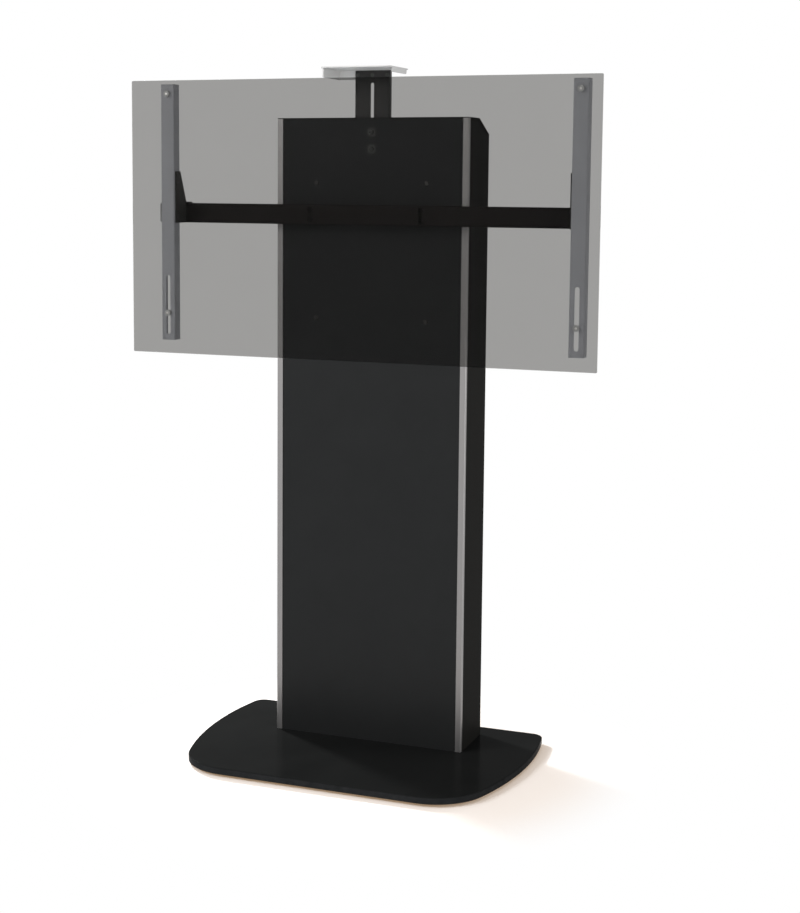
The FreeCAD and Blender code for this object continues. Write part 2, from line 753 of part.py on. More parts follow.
# Crossbar: a rectangular tube on two spacers, bolted through its rear wall into the uprights
def build_crossbar():
    tube_length = "bar_length - 2 * bar_cap_thickness"
    low_z = "bar_z - bar_height / 2"
    high_z = "bar_z + bar_height / 2"
    body = new_body("crossbar_body")
    near = number("bar_wall") / 4
    outside = corners("bar_front_y", low_z, "bar_back_y", high_z)
    inside = corners("bar_front_y + bar_wall", low_z + " + bar_wall", "bar_back_y - bar_wall",
                     high_z + " - bar_wall")
    tube_x = "-(%s) / 2 - bar_offset" % tube_length
    outer = new_sketch(body, "bar_outline", "YZ_Plane", tube_x)
    draw_outline(outer, outside)
    pad(body, "bar_pad", outer, tube_length)
    round_edges(body, "bar_corners", "bar_corner", lambda e: edge_at(e, "x", outside, near))
    inner = new_sketch(body, "bar_hollow", "YZ_Plane", tube_x)
    draw_outline(inner, inside)
    pocket(body, "bar_hollow_pocket", inner, tube_length + " + overrun", True)
    round_edges(body, "bar_inner_corners", "bar_corner - bar_wall", lambda e: edge_at(e, "x", inside, near))
    tools = []
    bolts = []
    for i, (x, z) in enumerate(bar_bolt_places()):
        tools.append(rod("bar_access_%d" % i, "y", x, "bar_front_y - overrun", z, "bar_access_radius",
                         "bar_wall + 2 * overrun"))
        tools.append(rod("bar_bolt_hole_%d" % i, "y", x, "bar_back_y - bar_wall - overrun", z,
                         "bar_bolt_radius + bolt_clearance", "bar_wall + 2 * overrun"))
        head = rod("bar_bolt_head_%d" % i, "y", x, "bar_back_y - bar_wall - bar_bolt_head_height", z,
                   "bar_bolt_head", "bar_bolt_head_height")
        shank = rod("bar_bolt_shank_%d" % i, "y", x, "bar_back_y - bar_wall", z, "bar_bolt_radius",
                    "bar_wall + bar_gap + panel_thickness + upright_wall + bar_bolt_radius")
        socket = hexagon("bar_bolt_socket_%d" % i, "y", x,
                         "bar_back_y - bar_wall - bar_bolt_head_height - overrun", z,
                         "bar_bolt_radius * 3 / 4", "overrun + bar_bolt_head_height / 2")
        bolts.append(cut("bar_bolt_%d" % i, fuse("bar_bolt_blank_%d" % i, head, shank), socket))
    piece("crossbar", cut("crossbar_tube", body, *tools))
    piece("crossbar_bolts", group("crossbar_bolts_group", *bolts))
    for side_name, side in (("left", "-1"), ("right", "1")):
        centre = "%s * upright_spacing / 2" % side
        spacer = block(side_name + "_spacer_block", centre + " - bar_spacer_width / 2", "bar_back_y", low_z,
                       "bar_spacer_width", "bar_gap", "bar_height")
        holes = [rod("%s_spacer_hole_%d" % (side_name, i), "y", centre, "bar_back_y - overrun",
                     "bar_z + %s * bar_bolt_offset" % rise, "bar_bolt_radius + bolt_clearance",
                     "bar_gap + 2 * overrun") for i, rise in enumerate(("-1", "1"))]
        piece(side_name + "_bar_spacer", cut(side_name + "_spacer_holed", spacer, *holes))
        outer_x = "%s * bar_length / 2 - bar_offset" % side
        flange_x = outer_x + {"left": "", "right": " - bar_cap_thickness"}[side_name]
        plug_x = outer_x + {"left": " + bar_cap_thickness",
                            "right": " - bar_cap_thickness - bar_cap_plug"}[side_name]
        inset = "bar_corner"
        flange_body = new_body(side_name + "_bar_cap_body")
        sketch = new_sketch(flange_body, side_name + "_cap_outline", "YZ_Plane", flange_x)
        draw_outline(sketch, outside)
        pad(flange_body, side_name + "_cap_pad", sketch, "bar_cap_thickness")
        round_edges(flange_body, side_name + "_cap_corners", "bar_corner",
                    lambda e: edge_at(e, "x", outside, near))
        face = number(outer_x)
        round_edges(flange_body, side_name + "_cap_rim", "bar_cap_thickness / 4",
                    lambda e: abs(e.CenterOfMass.x - face) < near and e.BoundBox.XLength < near)
        plug = block(side_name + "_cap_plug", plug_x, "bar_front_y + " + inset, low_z + " + " + inset,
                     "bar_cap_plug", "bar_depth - 2 * (%s)" % inset, "bar_height - 2 * (%s)" % inset)
        piece(side_name + "_bar_cap", fuse(side_name + "_bar_cap_solid", flange_body, plug))


# Arms: folded channels open to the back, with a long slot low down and a screen hole near the top
def build_arms():
    for side_name, centre in (("left", "-left_arm_x"), ("right", "right_arm_x")):
        body = new_body(side_name + "_arm_body")
        sketch = new_sketch(body, side_name + "_arm_section", "XY_Plane", "arm_bottom")
        outer = "arm_width / 2"
        inner = "arm_width / 2 - arm_wall"
        web = "arm_front_y + arm_wall"
        draw_outline(sketch, [
            (centre + " - " + outer, "arm_back_y"), (centre + " - " + outer, "arm_front_y"),
            (centre + " + " + outer, "arm_front_y"), (centre + " + " + outer, "arm_back_y"),
            (centre + " + " + inner, "arm_back_y"), (centre + " + " + inner, web),
            (centre + " - (" + inner + ")", web), (centre + " - (" + inner + ")", "arm_back_y")])
        pad(body, side_name + "_arm_pad", sketch, "arm_length")
        front = number("arm_front_y")
        near = number("arm_wall") / 4
        round_edges(body, side_name + "_arm_bends", "arm_bend_round",
                    lambda e: is_upright(e) and abs(e.CenterOfMass.y - front) < near)
        turns = [(centre + " - (" + inner + ")", web), (centre + " + " + inner, web)]
        round_edges(body, side_name + "_arm_inner_bends", "arm_bend_round - arm_wall",
                    lambda e: edge_at(e, "z", turns, near))
        slot = slot_tool(side_name + "_arm_slot", "z", centre, "arm_front_y - overrun",
                         "arm_bottom + arm_slot_rise + arm_slot_length / 2", "arm_slot_width",
                         "arm_slot_length", "arm_wall + 2 * overrun")
        tools = [slot, rod(side_name + "_arm_hole", "y", centre, "arm_front_y - overrun",
                           "arm_top - arm_hole_drop", "arm_hole_radius", "arm_wall + 2 * overrun")]
        flange_x = centre + {"left": " + arm_width / 2 - arm_wall", "right": " - arm_width / 2"}[side_name]
        for i, rise in enumerate(rivet_heights()):
            tools.append(rod("%s_arm_rivet_hole_%d" % (side_name, i), "x", flange_x + " - overrun", rivet_y(),
                             rise, "rivet_radius + rivet_fit", "arm_wall + 2 * overrun"))
        piece(side_name + "_arm", cut(side_name + "_arm_slotted", body, *tools))


def rivet_heights():
    return ["bar_z + rivet_rise", "bar_z - rivet_drop"]


def rivet_y():
    return "arm_front_y + arm_depth / 2 + arm_wall / 2"


# Hooks: brackets on the inner flanges of the arms, each a cheek with a strap over the bar and a rear lip
def build_hooks():
    front = "arm_front_y + arm_bend_round + hook_clearance"
    rest_y = "bar_front_y - hook_clearance"
    over_bar = "bar_z + bar_height / 2 + hook_clearance"
    behind_bar = "bar_back_y + hook_clearance"
    back_y = behind_bar + " + hook_plate"
    top_z = over_bar + " + hook_plate"
    low_z = "bar_z - bar_height / 2"
    rivets = []
    screws = []
    for side_name, centre, hand in (("left", "-left_arm_x", 1), ("right", "right_arm_x", -1)):
        flange_x = "%s %s arm_width / 2" % (centre, "+" if hand > 0 else "-")
        cheek_x = flange_x + {1: "", -1: " - hook_plate"}[hand]
        strap_x = flange_x + {1: " + hook_plate - hook_strap_width", -1: " - hook_plate"}[hand]
        body = new_body(side_name + "_hook_body")
        strap = new_sketch(body, side_name + "_strap", "YZ_Plane", strap_x)
        draw_outline(strap, [
            ("arm_back_y + hook_clearance", over_bar),
            (behind_bar, over_bar),
            (behind_bar, over_bar + " - hook_lip"),
            (back_y, over_bar + " - hook_lip"),
            (back_y, top_z),
            ("arm_back_y + hook_clearance", top_z)])
        pad(body, side_name + "_strap_pad", strap, "hook_strap_width")
        near = number("hook_plate") / 4
        round_edges(body, side_name + "_strap_bend", "hook_plate * 0.9",
                    lambda e: edge_at(e, "x", [(back_y, top_z)], near))
        cheek = new_sketch(body, side_name + "_cheek", "YZ_Plane", cheek_x)
        draw_outline(cheek, [
            (front, low_z),
            (rest_y, low_z),
            (rest_y, top_z),
            ("arm_back_y", "bar_z + hook_above"),
            (front, "bar_z + hook_above")])
        pad(body, side_name + "_cheek_pad", cheek, "hook_plate")
        screw_x = strap_x + " + hook_strap_width / 2"
        screw_z = over_bar + " - hook_lip + lock_screw_rise"
        tools = [rod(side_name + "_lock_hole", "y", screw_x, behind_bar + " - overrun", screw_z,
                     "lock_screw_radius + rivet_fit", "hook_plate + 2 * overrun")]
        for i, rise in enumerate(rivet_heights()):
            tools.append(rod("%s_hook_rivet_hole_%d" % (side_name, i), "x", cheek_x + " - overrun", rivet_y(),
                             rise, "rivet_radius + rivet_fit", "hook_plate + 2 * overrun"))
            shank_x = flange_x + {1: " - arm_wall", -1: " - hook_plate"}[hand]
            tag = "%s_rivet_%d" % (side_name, i)
            shank = rod(tag + "_shank", "x", shank_x, rivet_y(), rise, "rivet_radius",
                        "arm_wall + hook_plate")
            low_head = rod(tag + "_low_head", "x", shank_x + " - rivet_head_height", rivet_y(), rise,
                           "rivet_head_radius", "rivet_head_height")
            high_head = rod(tag + "_high_head", "x", shank_x + " + arm_wall + hook_plate", rivet_y(), rise,
                            "rivet_head_radius", "rivet_head_height")
            rivets.append(fuse(tag, low_head, shank, high_head))
        piece(side_name + "_hook", cut(side_name + "_hook_drilled", body, *tools))
        grip = rod(side_name + "_lock_grip", "y", screw_x, back_y, screw_z, "lock_screw_head",
                   "lock_screw_head_height")
        stem = rod(side_name + "_lock_stem", "y", screw_x, behind_bar, screw_z, "lock_screw_radius",
                   "hook_plate")
        screws.append(fuse(side_name + "_lock_screw", grip, stem))
    piece("hook_rivets", group("hook_rivets_group", *rivets))
    piece("lock_screws", group("lock_screws_group", *screws))


# Screen panel: a thin see-through plate on four spacers, screwed through the arms from behind
def build_screen_panel():
    body = new_body("screen_panel_body")
    sketch = new_sketch(body, "screen_outline", "XZ_Plane", "-screen_back_y")
    bottom = "bar_z - screen_drop"
    draw_outline(sketch, [("-screen_width / 2", bottom), ("screen_width / 2", bottom),
                          ("screen_width / 2", bottom + " + screen_height"),
                          ("-screen_width / 2", bottom + " + screen_height")])
    pad(body, "screen_pad", sketch, "screen_thickness")
    thick = number("screen_thickness")
    round_edges(body, "screen_corners", "screen_corner",
                lambda e: len(e.Vertexes) == 2 and abs(e.BoundBox.YLength - thick) < 0.001 * thick)
    piece("screen_panel", body)
    spacers = []
    screws = []
    for side_name, centre in (("left", "-left_arm_x"), ("right", "right_arm_x")):
        for level, z in (("upper", "arm_top - arm_hole_drop"), ("lower", "arm_bottom + lower_spacer_rise")):
            tag = "%s_%s" % (side_name, level)
            ring = rod(tag + "_ring", "y", centre, "screen_back_y", z, "spacer_radius", "spacer_length")
            bore = rod(tag + "_bore", "y", centre, "screen_back_y - overrun", z,
                       "screen_screw_radius + bolt_clearance", "spacer_length + 2 * overrun")
            spacers.append(cut(tag + "_spacer", ring, bore))
            head = rod(tag + "_screw_head", "y", centre, "arm_front_y + arm_wall", z, "screen_screw_head",
                       "screen_screw_head_height")
            shank = rod(tag + "_screw_shank", "y", centre, "screen_back_y", z, "screen_screw_radius",
                        "spacer_length + arm_wall")
            screws.append(fuse(tag + "_screw", head, shank))
    piece("screen_spacers", group("screen_spacers_group", *spacers))
    piece("screen_screws", group("screen_screws_group", *screws))


# Camera post: a slotted channel that slides in the column, its guides, clamp block, screws and nuts
def build_camera_post():
    post_low = "column_top + post_above - post_length"
    front_y = "panel_back_y + post_clearance"
    web_back = front_y + " + post_wall"
    back_y = front_y + " + post_depth"
    outer = "post_width / 2"
    inner = "post_width / 2 - post_wall"
    body = new_body("camera_post_body")
    sketch = new_sketch(body, "post_section", "XY_Plane", post_low)
    draw_outline(sketch, [("-(%s)" % outer, back_y), ("-(%s)" % outer, front_y), (outer, front_y),
                          (outer, back_y), (inner, back_y), (inner, web_back),
                          ("-(%s)" % inner, web_back), ("-(%s)" % inner, back_y)])
    pad(body, "post_pad", sketch, "post_length")
    near = number("post_wall") / 4
    outside = [("-(%s)" % outer, front_y), (outer, front_y)]
    inside = [("-(%s)" % inner, web_back), (inner, web_back)]
    round_edges(body, "post_bends", "post_bend", lambda e: edge_at(e, "z", outside, near))
    round_edges(body, "post_inner_bends", "post_bend - post_wall", lambda e: edge_at(e, "z", inside, near))
    slot_top = "column_top + post_above - post_slot_drop"
    slot = slot_tool("post_slot_tool", "z", "0", front_y + " - overrun", slot_top + " - post_slot_length / 2",
                     "post_slot", "post_slot_length", "post_wall + 2 * overrun")
    flange_z = "column_top + post_above - shelf_flange / 2"
    holes = [rod("post_shelf_hole_%d" % i, "y", "%s * shelf_screw_pitch" % step, front_y + " - overrun",
                 flange_z, "shelf_screw_radius + glide_fit", "post_wall + 2 * overrun")
             for i, step in enumerate(("-1", "0", "1"))]
    piece("camera_post", cut("camera_post_slotted", body, slot, *holes))
    block_y = web_back + " + post_clearance"
    bar = block("clamp_block_bar", "-clamp_block_width / 2", block_y, "skin_top - rail_top_gap - rail_height",
                "clamp_block_width", "upright_back_y - (%s)" % block_y, "rail_height")
    bores = [rod("clamp_block_bore_%d" % i, "y", "0", block_y + " - overrun", z,
                 "clamp_screw_radius + glide_fit", "upright_depth + 2 * overrun")
             for i, z in enumerate(clamp_heights())]
    piece("clamp_block", cut("clamp_block_bored", bar, *bores))
    guides = []
    for side_name, x in (("left", "-post_width / 2 - post_clearance - guide_width"),
                         ("right", "post_width / 2 + post_clearance")):
        guides.append(block(side_name + "_guide_bar", x, "panel_back_y",
                            "skin_top - rail_top_gap - rail_height", "guide_width", "upright_depth",
                            "rail_height"))
    piece("post_guides", group("post_guides_group", *guides))
    screws = []
    washers = []
    nuts = []
    for i, z in enumerate(clamp_heights()):
        face = "column_front_y - washer_thickness"
        head = rod("clamp_head_%d" % i, "y", "0", face + " - clamp_head_height", z, "clamp_head_radius",
                   "clamp_head_height")
        shank = rod("clamp_shank_%d" % i, "y", "0", face, z, "clamp_screw_radius",
                    "washer_thickness + panel_thickness + upright_depth + rail_thickness + clamp_nut_height")
        socket = hexagon("clamp_socket_%d" % i, "y", "0", face + " - clamp_head_height - overrun", z,
                         "clamp_screw_radius * 3 / 4", "overrun + clamp_head_height / 2")
        screws.append(cut("clamp_screw_%d" % i, fuse("clamp_blank_%d" % i, head, shank), socket))
        ring = rod("washer_ring_%d" % i, "y", "0", face, z, "washer_radius", "washer_thickness")
        bore = rod("washer_bore_%d" % i, "y", "0", face + " - overrun", z,
                   "clamp_screw_radius + bolt_clearance", "washer_thickness + 2 * overrun")
        washers.append(cut("washer_%d" % i, ring, bore))
        nut_ring = hexagon("nut_ring_%d" % i, "y", "0", "upright_back_y + rail_thickness", z,
                           "clamp_nut_radius", "clamp_nut_height")
        nut_bore = rod("nut_bore_%d" % i, "y", "0", "upright_back_y + rail_thickness - overrun", z,
                       "clamp_screw_radius + rivet_fit", "clamp_nut_height + 2 * overrun")
        nuts.append(cut("clamp_nut_%d" % i, nut_ring, nut_bore))
    piece("clamp_screws", group("clamp_screws_group", *screws))
    piece("clamp_washers", group("clamp_washers_group", *washers))
    piece("clamp_nuts", group("clamp_nuts_group", *nuts))


# Camera shelf: a thin plate on top of the post, folded down behind the post's web and at both sides,
# low on the right and deeper on the left, where the rear flange is notched round the post's side
def build_camera_shelf():
    post_top = "column_top + post_above"
    flange_front = "panel_back_y + post_clearance + post_wall"
    flange_back = flange_front + " + shelf_thickness"
    front_y = "column_front_y - shelf_front"
    body = new_body("camera_shelf_body")
    sketch = new_sketch(body, "shelf_outline", "XY_Plane", post_top)
    draw_outline(sketch, corners("-shelf_width / 2", front_y, "shelf_width / 2", flange_back))
    pad(body, "shelf_pad", sketch, "shelf_thickness")
    round_edges(body, "shelf_corners", "shelf_corner", lambda e: is_upright(e) and e.CenterOfMass.y < 0)
    flange = new_sketch(body, "flange_outline", "XY_Plane", post_top + " - shelf_flange")
    draw_outline(flange, corners("-shelf_width / 2", flange_front, "shelf_flange_reach", flange_back))
    pad(body, "flange_pad", flange, "shelf_flange")
    near = number("shelf_thickness") / 4
    flange_low_y = front_y + " + shelf_flange_start"
    flange_high_y = flange_back + " - shelf_corner"
    for side_name, low_x, drop, end_y in (
            ("left", "-shelf_width / 2", "shelf_flange", flange_back),
            ("right", "shelf_width / 2 - shelf_thickness", "shelf_low_flange", flange_high_y)):
        side = new_sketch(body, side_name + "_flange_outline", "XY_Plane", post_top + " - " + drop)
        draw_outline(side, corners(low_x, flange_low_y, low_x + " + shelf_thickness", end_y))
        pad(body, side_name + "_flange_pad", side, drop + " + shelf_thickness / 2")
    rear_end = [("shelf_flange_reach", post_top + " - shelf_flange")]
    ends = [(flange_low_y, post_top + " - shelf_flange"), (flange_low_y, post_top + " - shelf_low_flange"),
            (flange_high_y, post_top + " - shelf_low_flange")]
    round_edges(body, "flange_corners", "shelf_corner / 2",
                lambda e: edge_at(e, "x", ends, near) or edge_at(e, "y", rear_end, near))
    hole = new_sketch(body, "camera_hole", "XY_Plane", post_top + " + shelf_thickness")
    draw_circle(hole, "0", front_y + " + camera_hole_front", "camera_hole_radius")
    pocket(body, "camera_hole_pocket", hole, "shelf_thickness + overrun")
    notch_x = "-(post_width / 2 + post_clearance)"
    tools = [block("shelf_notch", notch_x, flange_front + " - overrun",
                   post_top + " - shelf_flange - overrun",
                   "post_width / 2 + post_clearance - shelf_flange_reach",
                   "shelf_thickness + 2 * overrun", "shelf_flange + overrun")]
    screws = []
    for i, step in enumerate(("-1", "0", "1")):
        x = "%s * shelf_screw_pitch" % step
        z = post_top + " - shelf_flange / 2"
        tools.append(rod("shelf_screw_hole_%d" % i, "y", x, flange_front + " - overrun", z,
                         "shelf_screw_radius + glide_fit", "shelf_thickness + 2 * overrun"))
        face = "panel_back_y + post_clearance"
        head = rod("shelf_screw_head_%d" % i, "y", x, face + " - shelf_screw_head_height", z,
                   "shelf_screw_head", "shelf_screw_head_height")
        shank = rod("shelf_screw_shank_%d" % i, "y", x, face, z, "shelf_screw_radius",
                    "post_wall + shelf_thickness")
        screws.append(fuse("shelf_screw_%d" % i, head, shank))
    piece("camera_shelf", cut("camera_shelf_drilled", body, *tools))
    piece("shelf_screws", group("shelf_screws_group", *screws))


# Rear door: a folded pan between the returns, with vent slots, a lock hole and a notch for the cam
def build_rear_door():
    work_out("door_half", "half_column - wall_return - door_gap")
    work_out("door_bottom", "base_top + sill_height + door_gap")
    work_out("door_top", "slope_end - cap_thickness - cap_lip - door_gap")
    work_out("door_inner_y", "column_back_y - door_fold")
    work_out("lock_x", "-(door_half - lock_inset)")
    work_out("lock_z", "base_top + lock_rise")
    outer = new_body("door_outer")
    sketch = new_sketch(outer, "door_outline", "XZ_Plane", "-column_back_y")
    draw_outline(sketch, corners("-door_half", "door_bottom", "door_half", "door_top"))
    pad(outer, "door_pad", sketch, "door_fold")
    back = number("column_back_y")
    near = number("door_sheet") / 4
    round_edges(outer, "door_folds", "door_bend",
                lambda e: abs(e.CenterOfMass.y - back) < near and e.BoundBox.YLength < near)
    inner = block("door_hollow", "-door_half + door_sheet", "door_inner_y - overrun",
                  "door_bottom + door_sheet", "2 * (door_half - door_sheet)",
                  "door_fold - door_sheet + overrun", "door_top - door_bottom - 2 * door_sheet")
    tools = [inner]
    tools.append(rod("lock_hole", "y", "lock_x", "column_back_y - door_sheet - overrun", "lock_z",
                     "lock_body_radius + lock_hole_clearance", "door_sheet + 2 * overrun"))
    tools.append(block("cam_notch", "-door_half - overrun", "door_inner_y - overrun",
                       "lock_z - cam_width / 2 - cam_sweep_clearance", "door_sheet + 2 * overrun",
                       "door_fold - door_sheet + overrun",
                       "cam_width / 2 + cam_reach + 2 * cam_sweep_clearance"))
    for i in range(VENT_COUNT):
        z = "door_top - door_vent_drop - %d * door_vent_pitch" % i
        tools.append(slot_tool("vent_%d" % i, "x", "0", "column_back_y - door_sheet - overrun", z,
                               "door_vent_width", "door_vent_length", "door_sheet + 2 * overrun"))
    pan = cut("door_pan", outer, *tools)
    rib = block("door_rib", "-door_rib_width / 2", "column_back_y - door_sheet - door_rib_depth",
                "door_bottom + door_sheet", "door_rib_width", "door_rib_depth",
                "door_top - door_vent_drop - %d * door_vent_pitch - door_bottom" % VENT_COUNT)
    channel = block("door_rib_hollow", "-door_rib_width / 2 + door_sheet", "column_back_y - door_rib_depth",
                    "door_bottom + door_sheet - overrun", "door_rib_width - 2 * door_sheet", "door_rib_depth",
                    "door_top - door_bottom")
    piece("rear_door", pan)
    piece("door_rib", cut("door_rib_channel", rib, channel))


# Hinges: a frame leaf with two outer knuckles, a door leaf with one, and a headed pin, twice
def build_hinges():
    axis_x = "half_column - wall_return - door_gap / 2"
    axis_y = "column_back_y + hinge_barrel_radius + hinge_knuckle_gap"
    frame_leaves = []
    door_leaves = []
    pins = []
    third = "hinge_height / 3"
    bottoms = ("door_bottom + lower_hinge_rise", "door_top - upper_hinge_drop - hinge_height")
    for i, low in enumerate(bottoms):
        bore = rod("hinge_bore_%d" % i, "z", axis_x, axis_y, low + " - overrun",
                   "hinge_pin_radius + hinge_pin_clearance", "hinge_height + 2 * overrun")
        door_bore = rod("hinge_door_bore_%d" % i, "z", axis_x, axis_y, low + " - overrun",
                        "hinge_pin_radius + hinge_pin_clearance", "hinge_height + 2 * overrun")
        leaf = block("frame_leaf_plate_%d" % i, axis_x + " + door_gap / 2 + hinge_barrel_radius",
                     "column_back_y", low, "hinge_leaf_width - hinge_barrel_radius", "hinge_leaf_thickness",
                     "hinge_height")
        knuckles = []
        for j, (start, length) in enumerate(((low, third), (low + " + 2 * " + third, third))):
            knuckles.append(rod("frame_knuckle_%d_%d" % (i, j), "z", axis_x, axis_y, start,
                                "hinge_barrel_radius", length))
            knuckles.append(block("frame_knuckle_web_%d_%d" % (i, j), axis_x, "column_back_y", start,
                                  "door_gap / 2 + hinge_leaf_width", "hinge_leaf_thickness", length))
        frame_leaves.append(cut("frame_leaf_%d" % i, fuse("frame_leaf_blank_%d" % i, leaf, *knuckles), bore))
        start = "%s + %s + hinge_knuckle_gap" % (low, third)
        length = "%s - 2 * hinge_knuckle_gap" % third
        knuckle = rod("door_knuckle_%d" % i, "z", axis_x, axis_y, start, "hinge_barrel_radius", length)
        web = block("door_knuckle_web_%d" % i, axis_x + " - door_gap / 2 - hinge_leaf_width",
                    "column_back_y", start, "door_gap / 2 + hinge_leaf_width", "hinge_leaf_thickness", length)
        plate = block("door_leaf_plate_%d" % i, axis_x + " - door_gap / 2 - hinge_leaf_width",
                      "column_back_y", low, "hinge_leaf_width - hinge_barrel_radius",
                      "hinge_leaf_thickness", "hinge_height")
        door_leaves.append(cut("door_leaf_%d" % i, fuse("door_leaf_blank_%d" % i, knuckle, web, plate),
                               door_bore))
        stem = rod("hinge_pin_stem_%d" % i, "z", axis_x, axis_y, low, "hinge_pin_radius", "hinge_height")
        heads = [rod("hinge_pin_head_%d_%d" % (i, j), "z", axis_x, axis_y, z,
                     "hinge_barrel_radius - hinge_knuckle_gap", "hinge_pin_head")
                 for j, z in enumerate((low + " - hinge_pin_head", low + " + hinge_height"))]
        pins.append(fuse("hinge_pin_%d" % i, stem, *heads))
    piece("frame_hinge_leaves", group("frame_hinge_group", *frame_leaves))
    piece("door_hinge_leaves", group("door_hinge_group", *door_leaves))
    piece("hinge_pins", group("hinge_pins_group", *pins))


# Lock: a body in the door and a key plug whose cam turns behind the left return
def build_lock():
    inner_y = "column_back_y - lock_body_depth"
    bezel = rod("lock_bezel", "y", "lock_x", "column_back_y", "lock_z", "lock_bezel_radius",
                "lock_bezel_height")
    barrel = rod("lock_barrel", "y", "lock_x", inner_y, "lock_z", "lock_body_radius", "lock_body_depth")
    bore = rod("lock_bore", "y", "lock_x", inner_y + " - overrun", "lock_z",
               "lock_plug_radius + lock_plug_clearance", "lock_body_depth + lock_bezel_height + 2 * overrun")
    piece("lock_body", cut("lock_body_bored", fuse("lock_body_blank", bezel, barrel), bore))
    cam_y = inner_y + " - cam_thickness"
    plug = rod("lock_plug", "y", "lock_x", cam_y, "lock_z", "lock_plug_radius",
               "cam_thickness + lock_body_depth + lock_bezel_height + lock_plug_proud")
    keyway = block("lock_keyway", "lock_x - lock_key_width / 2",
                   "column_back_y + lock_bezel_height + lock_plug_proud - lock_key_depth",
                   "lock_z - lock_key_length / 2", "lock_key_width", "lock_key_depth + overrun",
                   "lock_key_length")
    hub = rod("cam_hub", "y", "lock_x", cam_y, "lock_z", "cam_width / 2", "cam_thickness")
    lever = block("cam_lever", "lock_x - cam_width / 2", cam_y, "lock_z", "cam_width", "cam_thickness",
                  "cam_reach - cam_width / 2")
    tip = rod("cam_tip", "y", "lock_x", cam_y, "lock_z + cam_reach - cam_width / 2", "cam_width / 2",
              "cam_thickness")
    piece("lock_cam", cut("lock_cam_keyed", fuse("lock_cam_blank", plug, hub, lever, tip), keyway))


build_base_plate()
build_glides()
build_foot()
build_frame()
build_edge_profiles()
build_front_panel()
build_side_walls()
build_top_cap()
build_rear_sill()
build_crossbar()
build_arms()
build_hooks()
build_screen_panel()
build_camera_post()
build_camera_shelf()
build_rear_door()
build_hinges()
build_lock()
doc.recompute()

# Every object is checked before anything is written
for thing in doc.Objects:
    if "Invalid" in thing.State or "Error" in thing.State:
        raise ValueError("%s did not build: %s" % (thing.Name, thing.State))
for node, thing in PIECES.items():
    if thing.Shape.isNull() or not thing.Shape.isValid() or not thing.Shape.Solids:
        raise ValueError("%s has no valid solid" % node)

os.makedirs("parts", exist_ok=True)
for node, thing in PIECES.items():
    thing.Shape.exportStep("parts/%s.step" % node)
print("%d pieces written" % len(PIECES))
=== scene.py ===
import math

import bpy
from mathutils import Matrix, Vector


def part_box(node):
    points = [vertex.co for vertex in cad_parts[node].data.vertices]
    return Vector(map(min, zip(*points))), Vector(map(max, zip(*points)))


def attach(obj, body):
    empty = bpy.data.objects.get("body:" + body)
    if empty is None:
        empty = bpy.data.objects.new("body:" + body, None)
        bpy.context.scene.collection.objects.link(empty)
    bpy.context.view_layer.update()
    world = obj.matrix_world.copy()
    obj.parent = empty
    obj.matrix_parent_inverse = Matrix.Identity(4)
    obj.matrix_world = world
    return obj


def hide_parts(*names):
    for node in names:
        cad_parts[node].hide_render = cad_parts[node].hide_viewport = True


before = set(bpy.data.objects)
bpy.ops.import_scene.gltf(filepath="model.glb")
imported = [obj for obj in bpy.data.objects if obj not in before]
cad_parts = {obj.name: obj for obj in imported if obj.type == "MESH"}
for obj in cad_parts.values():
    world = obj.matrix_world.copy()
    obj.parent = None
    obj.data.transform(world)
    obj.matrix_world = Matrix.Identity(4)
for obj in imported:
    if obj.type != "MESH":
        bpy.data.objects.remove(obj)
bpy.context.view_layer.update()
bpy.ops.object.select_all(action="DESELECT")


# Camera: it stands right of the stand, a little above the middle of the see-through panel, and looks
# slightly down. A small shift of its lens sets the stand's place in the picture.
camera_place = Vector((1.5762, -3.9075, 1.4502))
yaw, pitch, roll = math.radians(21.19), math.radians(6.48), math.radians(0.48)
camera_data = bpy.data.cameras.new("room_camera")
camera_data.sensor_fit = "VERTICAL"
camera_data.sensor_height = 36.0
camera_data.lens = 66.84
camera_data.shift_x = 0.018
camera_data.shift_y = -0.0838
camera = bpy.data.objects.new("room_camera", camera_data)
bpy.context.scene.collection.objects.link(camera)
forward = Vector((-math.sin(yaw) * math.cos(pitch), math.cos(yaw) * math.cos(pitch), -math.sin(pitch)))
right = Vector((math.cos(yaw), math.sin(yaw), 0.0))
up = right.cross(forward)
rolled_right = right * math.cos(roll) + up * math.sin(roll)
rolled_up = up * math.cos(roll) - right * math.sin(roll)
aimed = Matrix((rolled_right, rolled_up, -forward)).transposed().to_4x4()
camera.matrix_world = Matrix.Translation(camera_place) @ aimed
bpy.context.scene.camera = camera


# Studio: a pale round floor and white surroundings. Soft lamps stand high on the left, low on the right and
# behind, a small one shines along the edge profiles, and a spot behind draws the base's shadow. Camera,
# glossy and see-through rays find white, and the floor near the stand keeps its shadow, warmed by its glow.
def feed(tree, socket, value):
    if isinstance(value, bpy.types.NodeSocket):
        tree.links.new(value, socket)
    else:
        socket.default_value = value


def math_node(tree, operation, *values):
    node = tree.nodes.new("ShaderNodeMath")
    node.operation = operation
    for socket, value in zip(node.inputs, values):
        feed(tree, socket, value)
    return node.outputs[0]


def seen_rays(tree):
    path = tree.nodes.new("ShaderNodeLightPath")
    first = math_node(tree, "MAXIMUM", path.outputs["Is Camera Ray"], path.outputs["Is Glossy Ray"])
    return math_node(tree, "MAXIMUM", first, path.outputs["Is Transmission Ray"])


def mixed_shader(tree, share, first, second):
    mix = tree.nodes.new("ShaderNodeMixShader")
    for socket, source in zip(mix.inputs, (share, first, second)):
        tree.links.new(source, socket)
    return mix.outputs[0]


def new_material(name):
    material = bpy.data.materials.new(name)
    material.use_nodes = True
    return material, material.node_tree, material.node_tree.nodes["Principled BSDF"]


